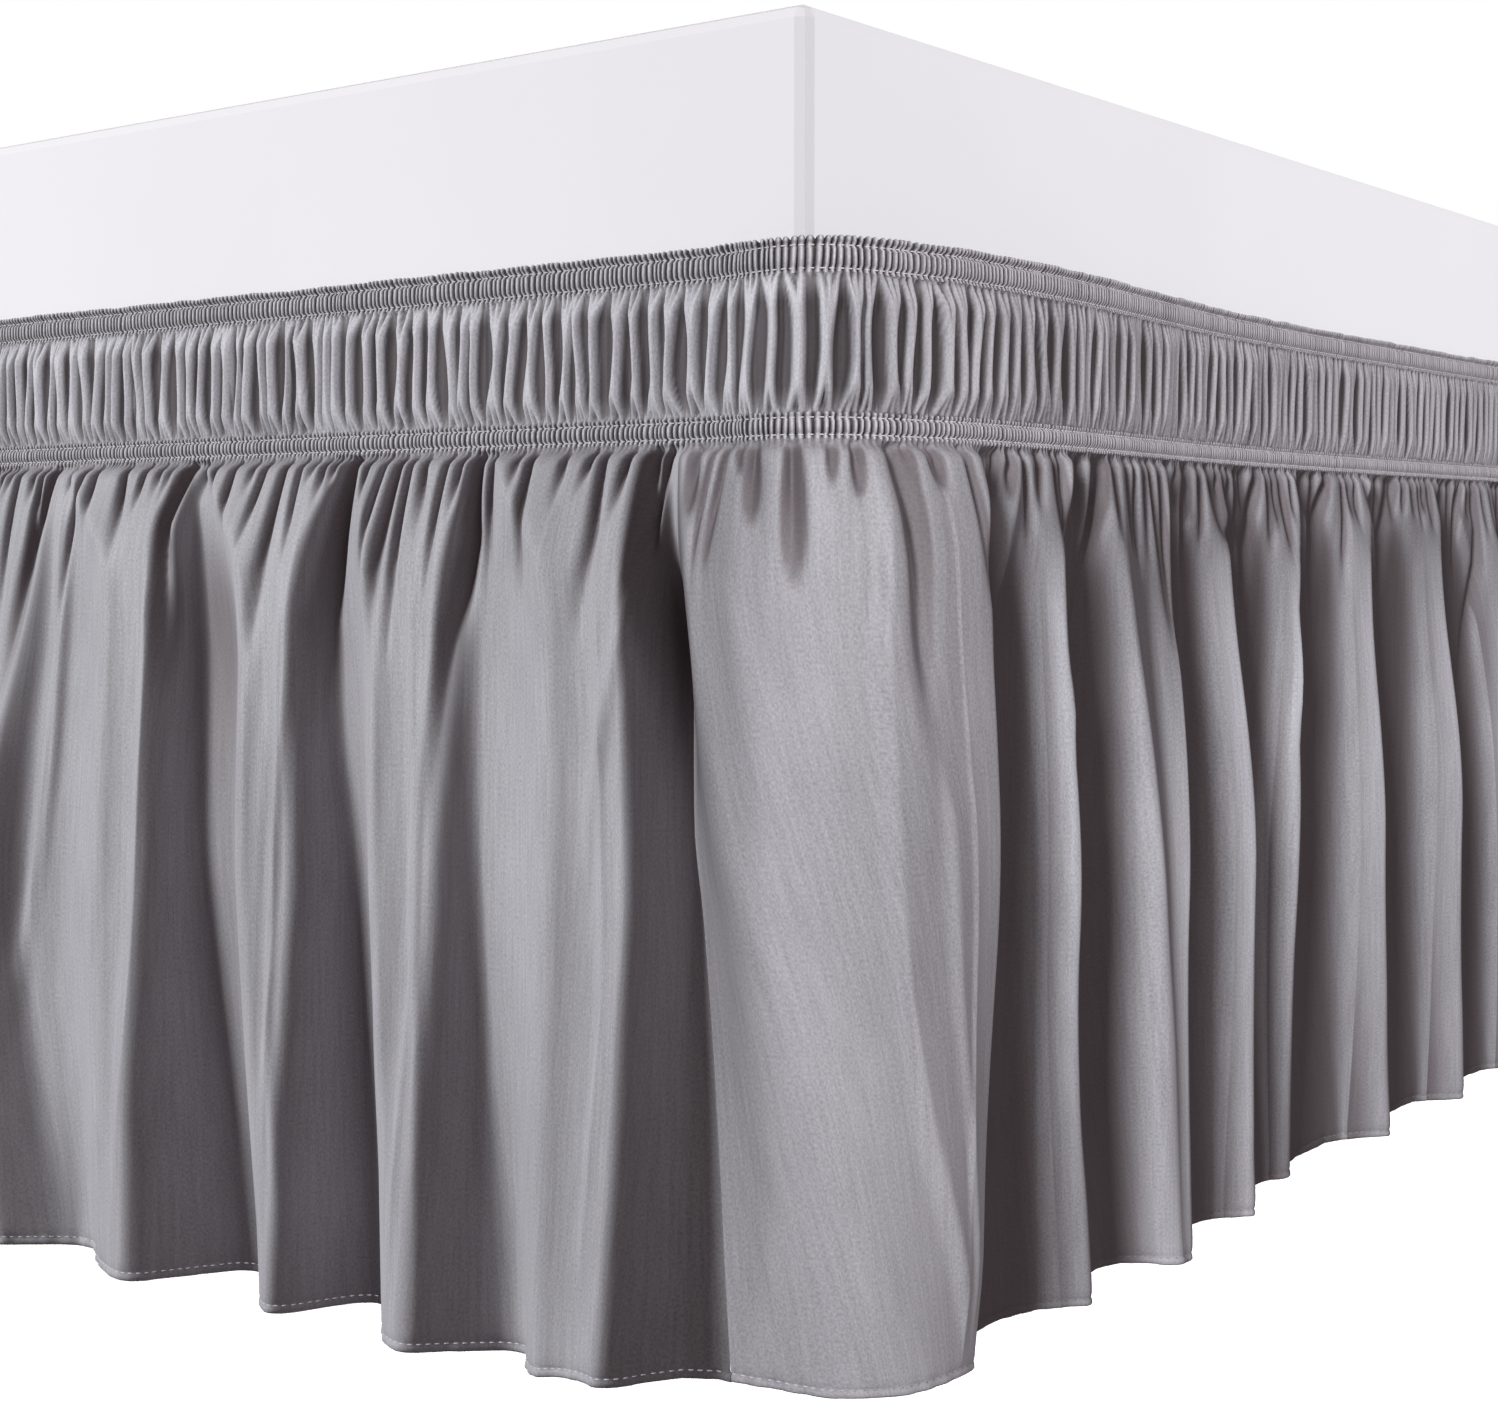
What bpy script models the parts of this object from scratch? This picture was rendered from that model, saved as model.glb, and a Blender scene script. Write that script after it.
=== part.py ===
"""Gathered, elastic bed skirt fitted round a plain box spring on four legs.

Metres, +Z up. The origin is on the floor under the middle of the box spring.
The foot of the bed faces -Y and its long sides face -X and +X.

All the cloth follows one closed path round the box spring. A place on it is
given by s, the distance along the path from the middle of the +X -Y corner
(positive towards +Y), and by n, the distance outwards from the path.
"""

import math
import random

import bmesh
import bpy
import numpy as np

# ---- driving dimensions -------------------------------------------------
BASE_W = 0.990  # box spring, across (X)
BASE_L = 1.905  # box spring, along (Y)
BASE_TOP = 0.4945
BASE_BOTTOM = 0.2645
BASE_EDGE = 0.005  # rounding of its edges

LEG_D = 0.052
LEG_FOOT_D = 0.044
LEG_INSET = 0.092  # leg centre in from each side
GAP = 0.0003  # between neighbouring pieces

HEM_Z = 0.008  # lowest edge of the cloth
RUFFLE_TOP = 0.3469
LOWER_BAND_TOP = 0.3545
HEADING_TOP = 0.4023
FRILL_TOP = 0.414
CLOTH = 0.002  # thickness of the gathered cloth

STAND_OFF = 0.004  # path to the side of the box spring
CORNER_R = 0.034  # the path's own corner radius
PEAK = 0.012  # how far the cloth is pushed out over each sharp corner
PEAK_REACH = 0.016

CORNER_RAISE = 0.012  # the hem rides up where it rounds the +X -Y corner
HEADING_PUFF = 0.0065

# How the cloth stands off the box spring on each side of a corner.
# side of the corner before it / after it along s, and how far that reaches
CORNERS = (
    # before, after, reach_before, reach_after
    (0.002, 0.026, 0.07, 0.18),  # +X -Y
    (0.010, 0.004, 0.12, 0.08),  # +X +Y
    (0.006, 0.008, 0.09, 0.11),  # -X +Y
    (0.012, 0.003, 0.13, 0.07),  # -X -Y
)

# Heights at which each fold is described: just under the band, upper, middle, hem
LEVELS = (RUFFLE_TOP, 0.300, 0.165, HEM_Z)

# The main folds on both sides of the +X -Y corner, in order of s.
# For each height: s of the ridge, half its width, how far out it stands;
# then how far out the valley after it lies.
FOLDS = (
    #  upper                     middle                     hem                         valley after it
    #  s       half   out        s        half   out        s       half   out          upper  mid    hem
    (-0.4250, 0.015, 0.020, -0.4335, 0.013, 0.043, -0.4020, 0.018, 0.064, 0.009, 0.026, 0.038),
    (-0.3330, 0.020, 0.021, -0.3195, 0.017, 0.043, -0.3060, 0.010, 0.061, 0.004, 0.019, 0.016),
    (-0.2450, 0.019, 0.021, -0.2270, 0.017, 0.043, -0.2245, 0.008, 0.052, 0.005, 0.021, 0.013),
    (-0.1680, 0.023, 0.021, -0.1520, 0.018, 0.042, -0.1560, 0.008, 0.050, 0.008, 0.027, 0.018),
    (-0.0740, 0.023, 0.022, -0.0590, 0.021, 0.041, -0.0645, 0.021, 0.054, 0.004, 0.019, 0.022),
    (0.0060, 0.040, 0.016, 0.0170, 0.028, 0.034, 0.0275, 0.019, 0.042, 0.001, 0.002, 0.005),
    (0.0955, 0.008, 0.018, 0.1100, 0.007, 0.031, 0.1460, 0.007, 0.034, 0.001, 0.002, 0.006),
    (0.1855, 0.022, 0.018, 0.1955, 0.010, 0.033, 0.2225, 0.008, 0.037, 0.001, 0.002, 0.008),
    (0.2685, 0.008, 0.018, 0.2805, 0.007, 0.031, 0.2965, 0.008, 0.033, 0.001, 0.002, 0.004),
    (0.3520, 0.008, 0.018, 0.3370, 0.007, 0.027, 0.3640, 0.008, 0.018, 0.001, 0.002, -0.001),
    (0.4365, 0.008, 0.019, 0.4335, 0.008, 0.030, 0.4625, 0.010, 0.027, 0.001, 0.002, 0.002),
    (0.5360, 0.008, 0.019, 0.5350, 0.008, 0.032, 0.5640, 0.009, 0.031, 0.001, 0.002, 0.004),
    (0.6205, 0.014, 0.019, 0.6350, 0.009, 0.031, 0.6600, 0.009, 0.032, 0.001, 0.002, 0.004),
)
PLAIN_FOLDS = 53  # those on the rest of the loop
FOLD_SEED = 11

PANELS = (-0.620, 0.821, 2.262, 3.703)  # where each ruffle panel starts, to the nearest valley
SEAM_GAP = 0.0009
SEAM_FLAT = 0.15  # share of a cross-section span kept flat next to each seam

COLUMNS_PER_FOLD = 6
HEADING_COLUMNS = 184

# ---- the path round the box spring ----------------------------------------
INSET = CORNER_R - STAND_OFF
HX, HY = BASE_W / 2 - INSET, BASE_L / 2 - INSET
ARC = CORNER_R * math.pi / 2
EDGES = np.cumsum([0, ARC / 2, 2 * HY, ARC, 2 * HX, ARC, 2 * HY, ARC, 2 * HX, ARC / 2])
LOOP = float(EDGES[-1])
TURN = np.radians([-45, 0, 0, 90, 90, 180, 180, 270, 270, 315])
CENTRE_X = HX * np.array([1, 1, 1, 1, -1, -1, -1, -1, 1, 1])
CENTRE_Y = HY * np.array([-1, -1, 1, 1, 1, 1, -1, -1, -1, -1])
CORNER_S = (0.0, ARC + 2 * HY, 2 * ARC + 2 * HY + 2 * HX, 3 * ARC + 4 * HY + 2 * HX)


def smooth(low, high, value):
    t = np.clip((value - low) / (high - low), 0, 1)
    return t * t * (3 - 2 * t)


def from_corner(s, corner):
    """Signed distance along the path from a corner's middle."""
    return np.mod(s - CORNER_S[corner] + LOOP / 2, LOOP) - LOOP / 2


def bulge(s):
    """How far the cloth stands outside the path because of the corners."""
    total = np.zeros_like(s)
    for k, (before, after, reach_before, reach_after) in enumerate(CORNERS):
        d = from_corner(s, k)
        side = before + (after - before) * smooth(-0.03, 0.05, d)
        fade = np.where(
            d < 0,
            np.exp(-((d / reach_before) ** 2)),
            np.exp(-((np.maximum(d - 0.075, 0) / reach_after) ** 2)),
        )
        total += side * fade + PEAK * np.exp(-((d / PEAK_REACH) ** 2))
    return total


def place(s, n, z):
    """World points for a place on the loop."""
    s = np.mod(s, LOOP)
    turn = np.interp(s, EDGES, TURN)
    reach = CORNER_R + n
    x = np.interp(s, EDGES, CENTRE_X) + reach * np.cos(turn)
    y = np.interp(s, EDGES, CENTRE_Y) + reach * np.sin(turn)
    return np.stack([x, y, np.broadcast_to(z, x.shape)], axis=-1)


# ---- the folds --------------------------------------------------------------
def fold_rows():
    """A row like those of FOLDS for every fold on the loop, in order of s."""
    rng = random.Random(FOLD_SEED)
    rows = [list(row) for row in FOLDS]
    last, first = rows[-1], rows[0]
    gaps = [rng.uniform(0.72, 1.28) for _ in range(PLAIN_FOLDS + 1)]
    span = (first[6] + LOOP) - last[6]
    gaps = [gap * span / sum(gaps) for gap in gaps]
    s = last[6]
    for i in range(PLAIN_FOLDS):
        s += gaps[i]
        room = min(gaps[i], gaps[i + 1])
        near = min(abs(float(from_corner(np.array(s), k))) for k in range(4))
        wide = 1 + 0.5 * math.exp(-((near / 0.06) ** 2))
        half = room * rng.uniform(0.10, 0.16)
        out = rng.uniform(0.036, 0.050)
        drift = rng.uniform(-0.014, 0.014)
        rows.append(
            [
                s + drift, half * 1.5 * wide, rng.uniform(0.017, 0.021),
                s + 0.5 * drift * rng.uniform(0.3, 1.4), half * 1.15 * wide, out * rng.uniform(0.72, 0.86),
                s, half * wide, out,
                0.001, 0.001 + 0.003 * rng.random(), rng.uniform(-0.002, 0.010),
            ]
        )  # fmt: skip
    return rows


def controls():
    """Control points of the cross-section, (4 a fold, levels, (s, n)): each side of the ridge and of the valley."""
    rows = fold_rows()
    count = len(rows)
    points = np.zeros((4 * count, len(LEVELS), 2))
    for i, row in enumerate(rows):
        after = rows[(i + 1) % count]
        wrap = LOOP if i + 1 == count else 0.0
        for level in range(1, len(LEVELS)):
            s, half, out = row[3 * level - 3 : 3 * level]
            s2, half2 = after[3 * level - 3] + wrap, after[3 * level - 2]
            low = row[8 + level]
            left, right = s + half, s2 - half2
            middle, floor = (left + right) / 2, 0.2 * (right - left)
            points[4 * i + 0, level] = s - half, out
            points[4 * i + 1, level] = s + half, out
            points[4 * i + 2, level] = middle - floor, low
            points[4 * i + 3, level] = middle + floor, low
        points[4 * i : 4 * i + 4, 0] = points[4 * i : 4 * i + 4, 1]
        points[4 * i : 4 * i + 4, 0, 1] = (0.0035, 0.0035, 0.0005, 0.0005)
    return points


def section(points, t, level):
    """(s, n) of the closed B-spline through the controls of one level, at parameters t."""
    count = len(points)
    cell = np.floor(t).astype(int)
    u = t - cell
    weights = (
        (1 - u) ** 3 / 6,
        (3 * u**3 - 6 * u**2 + 4) / 6,
        (-3 * u**3 + 3 * u**2 + 3 * u + 1) / 6,
        u**3 / 6,
    )
    total = np.zeros((len(t), 2))
    for k, weight in enumerate(weights):
        index = cell + k - 1
        row = points[np.mod(index, count), level].copy()
        row[:, 0] += LOOP * np.floor_divide(index, count)
        total += weight[:, None] * row
    return total


def hem_raise(s):
    return CORNER_RAISE * np.exp(-(((from_corner(s, 0) + 0.01) / 0.075) ** 4))


# ---- objects ----------------------------------------------------------------
def material(name, colour, roughness, metallic=0.0):
    made = bpy.data.materials.new(name)
    made.use_nodes = True
    shader = made.node_tree.nodes["Principled BSDF"]
    shader.inputs["Base Color"].default_value = (*colour, 1)
    shader.inputs["Roughness"].default_value = roughness
    shader.inputs["Metallic"].default_value = metallic
    return made


def add_object(name, mesh, collection, finish):
    mesh.materials.append(finish)
    made = bpy.data.objects.new(name, mesh)
    collection.objects.link(made)
    return made


def sheet(name, rows, closed, collection, finish):
    """A cloth strip from rows of points, bottom to top, given its thickness by Solidify."""
    across, up = rows.shape[1] - 1, rows.shape[0] - 1
    bm = bmesh.new()
    bmesh.ops.create_grid(bm, x_segments=across, y_segments=up, size=1)
    for vertex in bm.verts:
        i = round((vertex.co.x + 1) / 2 * across)
        j = round((vertex.co.y + 1) / 2 * up)
        vertex.co = rows[j, i]
    if closed:
        bmesh.ops.remove_doubles(bm, verts=bm.verts, dist=1e-6)
    bmesh.ops.recalc_face_normals(bm, faces=bm.faces)
    mesh = bpy.data.meshes.new(name)
    bm.to_mesh(mesh)
    bm.free()
    mesh.shade_smooth()
    made = add_object(name, mesh, collection, finish)
    solid = made.modifiers.new("thickness", "SOLIDIFY")
    solid.thickness = CLOTH
    solid.offset = 0
    return made


def strip(name, s, heights, outs, collection, finish):
    """A closed strip: one row of points for each height, each outs[i] off the bulged path."""
    rows = np.stack(
        [place(s, bulge(s) + out, z) for z, out in zip(heights, outs, strict=True)]
    )
    rows[:, -1] = rows[:, 0]
    return sheet(name, rows, True, collection, finish)


def band_columns():
    steps = (-0.30, -0.20, -0.13, -0.08, -0.05, -0.0267, -0.018, -0.009, 0.0,
             0.009, 0.018, 0.0267, 0.045, 0.075, 0.12, 0.18, 0.25, 0.34, 0.44)  # fmt: skip
    found = sorted({round((c + d) % LOOP, 6) for c in CORNER_S for d in steps})
    return np.array([*found, found[0] + LOOP])


def build():
    for old in list(bpy.data.objects):
        bpy.data.objects.remove(old, do_unlink=True)
    collection = bpy.data.collections.new("bed_skirt")
    bpy.context.scene.collection.children.link(collection)

    # box spring
    bm = bmesh.new()
    bmesh.ops.create_cube(bm, size=1)
    bmesh.ops.scale(bm, verts=bm.verts, vec=(BASE_W, BASE_L, BASE_TOP - BASE_BOTTOM))
    mesh = bpy.data.meshes.new("box_spring")
    bm.to_mesh(mesh)
    bm.free()
    base = add_object(
        "box_spring", mesh, collection, material("white_ticking", (0.83, 0.83, 0.86), 0.8)
    )
    base.location = (0, 0, (BASE_TOP + BASE_BOTTOM) / 2)
    rounding = base.modifiers.new("rounded_edges", "BEVEL")
    rounding.width = BASE_EDGE
    rounding.segments = 2

    # legs
    lacquer = material("leg_lacquer", (0.30, 0.29, 0.28), 0.45)
    height = BASE_BOTTOM - GAP
    spots = [(sx, sy) for sx in (1, -1) for sy in (-1, 1)]
    for number, (sx, sy) in enumerate(spots, 1):
        bm = bmesh.new()
        bmesh.ops.create_cone(
            bm, cap_ends=True, segments=24,
            radius1=LEG_FOOT_D / 2, radius2=LEG_D / 2, depth=height,
        )  # fmt: skip
        mesh = bpy.data.meshes.new(f"leg_{number}")
        bm.to_mesh(mesh)
        bm.free()
        mesh.shade_smooth()
        mesh.set_sharp_from_angle(angle=math.radians(40))
        leg = add_object(f"leg_{number}", mesh, collection, lacquer)
        leg.location = (
            sx * (BASE_W / 2 - LEG_INSET), sy * (BASE_L / 2 - LEG_INSET), height / 2,
        )  # fmt: skip

    # bands and heading
    satin = (0.33, 0.325, 0.335)
    s = band_columns()
    strip("lower_band", s, (RUFFLE_TOP + GAP, LOWER_BAND_TOP - GAP / 2), (0.0005, 0.0005),
          collection, material("shirred_band_lower", satin, 0.5))  # fmt: skip
    strip("upper_band", s, (HEADING_TOP + GAP, FRILL_TOP), (0.0005, 0.0005),
          collection, material("shirred_band_upper", satin, 0.5))  # fmt: skip
    s = np.linspace(0, LOOP, HEADING_COLUMNS + 1)
    puff = HEADING_PUFF * (0.8 + 0.2 * np.cos(s / LOOP * 2 * math.pi * 73) * np.cos(s / LOOP * 2 * math.pi * 46))
    low, high = LOWER_BAND_TOP + GAP, HEADING_TOP - GAP / 2
    strip("heading", s, (low, (low + high) / 2, high), (0.0005, puff, 0.0005),
          collection, material("gathered_heading", satin, 0.48))  # fmt: skip

    # ruffle panels, each from one valley to another
    points = controls()
    valley = 2.5 + 4 * np.arange(len(points) // 4)
    at_hem = section(points, valley, len(LEVELS) - 1)[:, 0]
    starts = []
    for start in PANELS:
        distance = np.abs(np.mod(at_hem - start + LOOP / 2, LOOP) - LOOP / 2)
        starts.append(int(np.argmin(distance)))
    folds = len(valley)
    for number, first in enumerate(starts, 1):
        end = starts[number % len(starts)]
        end += folds if end <= first else 0
        t = np.linspace(valley[0] + 4 * first, valley[0] + 4 * end, (end - first) * COLUMNS_PER_FOLD + 1)
        t = np.array([t[0], t[0] + SEAM_FLAT, *t[1:-1], t[-1] - SEAM_FLAT, t[-1]])
        rows = []
        for level in reversed(range(len(LEVELS))):
            line = section(points, t, level)
            line[0, 0] += SEAM_GAP / 2
            line[-1, 0] -= SEAM_GAP / 2
            height = LEVELS[level]
            share = (height - HEM_Z) / (RUFFLE_TOP - HEM_Z)
            lift = hem_raise(line[:, 0]) * (1 - share) ** 2
            rows.append(place(line[:, 0], line[:, 1] + share * bulge(line[:, 0]), height + lift))
        sheet(f"ruffle_panel_{number}", np.stack(rows), False, collection,
              material(f"ruffle_cloth_{number}", satin, 0.45))  # fmt: skip


build()
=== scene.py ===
"""Looks of the gathered bed skirt and of the box spring it fits.

Metres, +Z up. A place on the cloth is given by s, the distance along the path
round the box spring from the middle of the +X -Y corner (positive towards +Y),
by n, the distance outwards from the path, and by the height z.
"""

import math

import bpy
import numpy as np
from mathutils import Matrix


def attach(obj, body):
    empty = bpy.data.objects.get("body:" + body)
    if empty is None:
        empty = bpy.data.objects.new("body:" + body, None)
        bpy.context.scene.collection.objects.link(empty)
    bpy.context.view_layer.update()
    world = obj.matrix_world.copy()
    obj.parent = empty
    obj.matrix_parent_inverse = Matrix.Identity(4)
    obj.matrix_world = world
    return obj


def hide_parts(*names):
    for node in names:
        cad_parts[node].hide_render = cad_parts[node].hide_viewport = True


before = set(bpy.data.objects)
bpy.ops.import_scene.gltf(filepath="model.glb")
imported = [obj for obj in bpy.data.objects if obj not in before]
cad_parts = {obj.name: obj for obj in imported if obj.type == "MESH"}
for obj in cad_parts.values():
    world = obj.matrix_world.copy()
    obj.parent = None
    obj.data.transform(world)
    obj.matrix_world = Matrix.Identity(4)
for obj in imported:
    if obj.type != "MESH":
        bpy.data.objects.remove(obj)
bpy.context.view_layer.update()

# ---- sizes shared with the solids -------------------------------------------
BASE_W, BASE_L, BASE_TOP = 0.990, 1.905, 0.4945
HEM_Z, RUFFLE_TOP, LOWER_BAND_TOP = 0.008, 0.3469, 0.3545
HEADING_TOP, FRILL_TOP = 0.4023, 0.414
FRILL_STITCH = 0.4108
STAND_OFF, CORNER_R = 0.004, 0.034
PEAK, PEAK_REACH = 0.012, 0.016
CORNER_RAISE = 0.012
HEADING_PUFF = 0.0065

CORNERS = (
    # before, after, reach_before, reach_after
    (0.002, 0.026, 0.07, 0.18),
    (0.010, 0.004, 0.12, 0.08),
    (0.006, 0.008, 0.09, 0.11),
    (0.012, 0.003, 0.13, 0.07),
)
SHOULDER = 0.330
LEVELS = np.array([HEM_Z, 0.165, 0.300, SHOULDER, RUFFLE_TOP])
# Each fold, given at the upper, the middle and the hem level: its left edge, its
# right edge, the foot of its right flank and the far end of the valley floor, each
# as s, n. Then where its valley starts under the band, how far its face is hollow
# (out if negative), and which edge is the crisp one.
FOLDS = (
    ((-0.440, 0.019, -0.410, 0.020, -0.398, 0.013, -0.374, 0.013),
     (-0.446, 0.042, -0.421, 0.043, -0.406, 0.027, -0.378, 0.026),
     (-0.420, 0.062, -0.384, 0.064, -0.3588, 0.0446, -0.3455, 0.0379), -0.4065, 0.0045, "left"),
    ((-0.353, 0.021, -0.3135, 0.021, -0.304, 0.004, -0.288, 0.004),
     (-0.336, 0.043, -0.303, 0.042, -0.2905, 0.019, -0.268, 0.019),
     (-0.316, 0.0592, -0.296, 0.061, -0.2701, 0.0191, -0.250, 0.016), -0.3125, 0.0064, "left"),
    ((-0.2645, 0.021, -0.226, 0.021, -0.2165, 0.011, -0.205, 0.011),
     (-0.2435, 0.043, -0.2105, 0.042, -0.1990, 0.021, -0.186, 0.021),
     (-0.2322, 0.0493, -0.217, 0.052, -0.2005, 0.0145, -0.182, 0.013), -0.2115, 0.0060, "left"),
    ((-0.191, 0.021, -0.1455, 0.021, -0.137, 0.012, -0.124, 0.012),
     (-0.170, 0.042, -0.134, 0.041, -0.1245, 0.027, -0.112, 0.027),
     (-0.1644, 0.0455, -0.148, 0.0495, -0.1228, 0.0259, -0.110, 0.0176), -0.1430, 0.0068, "left"),
    ((-0.097, 0.021, -0.051, 0.022, -0.0445, 0.004, -0.041, 0.004),
     (-0.080, 0.040, -0.038, 0.041, -0.0265, 0.019, -0.0195, 0.019),
     (-0.086, 0.045, -0.043, 0.0536, -0.0235, 0.021, -0.010, 0.022), -0.0550, 0.0048, "left"),
    ((-0.034, 0.014, 0.046, 0.016, 0.058, 0.001, 0.074, 0.001),
     (-0.011, 0.033, 0.045, 0.034, 0.058, 0.003, 0.086, 0.002),
     (0.0088, 0.0418, 0.046, 0.038, 0.060, 0.006, 0.1140, 0.0051), 0.0630, -0.0035, "corner"),
    ((0.096, 0.011, 0.107, 0.013, 0.116, 0.001, 0.137, 0.001),
     (0.106, 0.029, 0.1135, 0.031, 0.125, 0.003, 0.150, 0.002),
     (0.140, 0.031, 0.152, 0.030, 0.165, 0.006, 0.2030, 0.007), 0.1545, 0.0, "right"),
    ((0.168, 0.012, 0.214, 0.013, 0.223, 0.001, 0.242, 0.001),
     (0.187, 0.030, 0.2045, 0.033, 0.216, 0.003, 0.240, 0.002),
     (0.216, 0.033, 0.229, 0.035, 0.242, 0.006, 0.2770, 0.0100), 0.2250, 0.0045, "pair"),
    ((0.269, 0.011, 0.2805, 0.013, 0.289, 0.001, 0.316, 0.001),
     (0.2765, 0.029, 0.2845, 0.031, 0.296, 0.003, 0.310, 0.002),
     (0.290, 0.030, 0.303, 0.030, 0.314, 0.006, 0.3450, 0.004), 0.3290, 0.0, "right"),
    ((0.353, 0.011, 0.3635, 0.013, 0.372, 0.001, 0.399, 0.001),
     (0.332, 0.026, 0.342, 0.027, 0.353, 0.003, 0.385, 0.002),
     (0.358, 0.015, 0.370, 0.014, 0.383, 0.002, 0.4320, -0.0005), 0.4165, 0.0, "right"),
    ((0.436, 0.012, 0.449, 0.013, 0.458, 0.001, 0.494, 0.001),
     (0.428, 0.029, 0.4395, 0.030, 0.452, 0.003, 0.487, 0.002),
     (0.452, 0.026, 0.473, 0.024, 0.486, 0.004, 0.5380, 0.0017), 0.5005, 0.0, "right"),
    ((0.535, 0.012, 0.549, 0.013, 0.558, 0.001, 0.588, 0.001),
     (0.529, 0.030, 0.541, 0.032, 0.553, 0.003, 0.588, 0.002),
     (0.555, 0.030, 0.573, 0.027, 0.586, 0.004, 0.6360, 0.005), 0.5850, 0.0, "right"),
    ((0.613, 0.012, 0.640, 0.013, 0.649, 0.001, 0.672, 0.001),
     (0.628, 0.030, 0.642, 0.031, 0.654, 0.003, 0.678, 0.002),
     (0.652, 0.030, 0.668, 0.029, 0.680, 0.004, 0.700, 0.005), 0.6620, 0.0, "right"),
)  # fmt: skip
# how widely a fold is rounded at its left edge, the middle of its face, its right
# edge, the foot of its flank, the end of the floor, and half way up to the next
ROUNDING = {
    "left": (0.0066, 0.0150, 0.0056, 0.0045, 0.0080, 0.0080),
    "corner": (0.0060, 0.0200, 0.0034, 0.0050, 0.0100, 0.0100),
    "pair": (0.0026, 0.0060, 0.0020, 0.0040, 0.0100, 0.0100),
    "right": (0.0120, 0.0080, 0.0026, 0.0044, 0.0120, 0.0120),
}
PLAIN_FOLDS, FOLD_SEED = 53, 11
PANELS = (-0.620, 0.821, 2.262, 3.703)

# ---- sizes of the finer shapes -----------------------------------------------
FINE = (-0.47, 0.72)  # the stretch of s whose folds are listed one by one, meshed more finely
FINE_STEP, PLAIN_STEP = 0.00104, 0.0030  # along the cloth of the ruffle
PUFF = 0.0036  # how far the gathered cloth swells out just under the band
FLOOR_N = -0.0024  # the cloth lies on the side of the box spring here
RIB_PITCH, RIB_PITCH_PLAIN = 0.00236, 0.0036
RIB_DEPTH = 0.0019
BAND_N = 0.0012
HEM_FOLD = 0.0034  # height of the narrow turned hem
STITCH_PITCH, STITCH_LENGTH, THREAD = 0.0034, 0.0023, 0.0005
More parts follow.
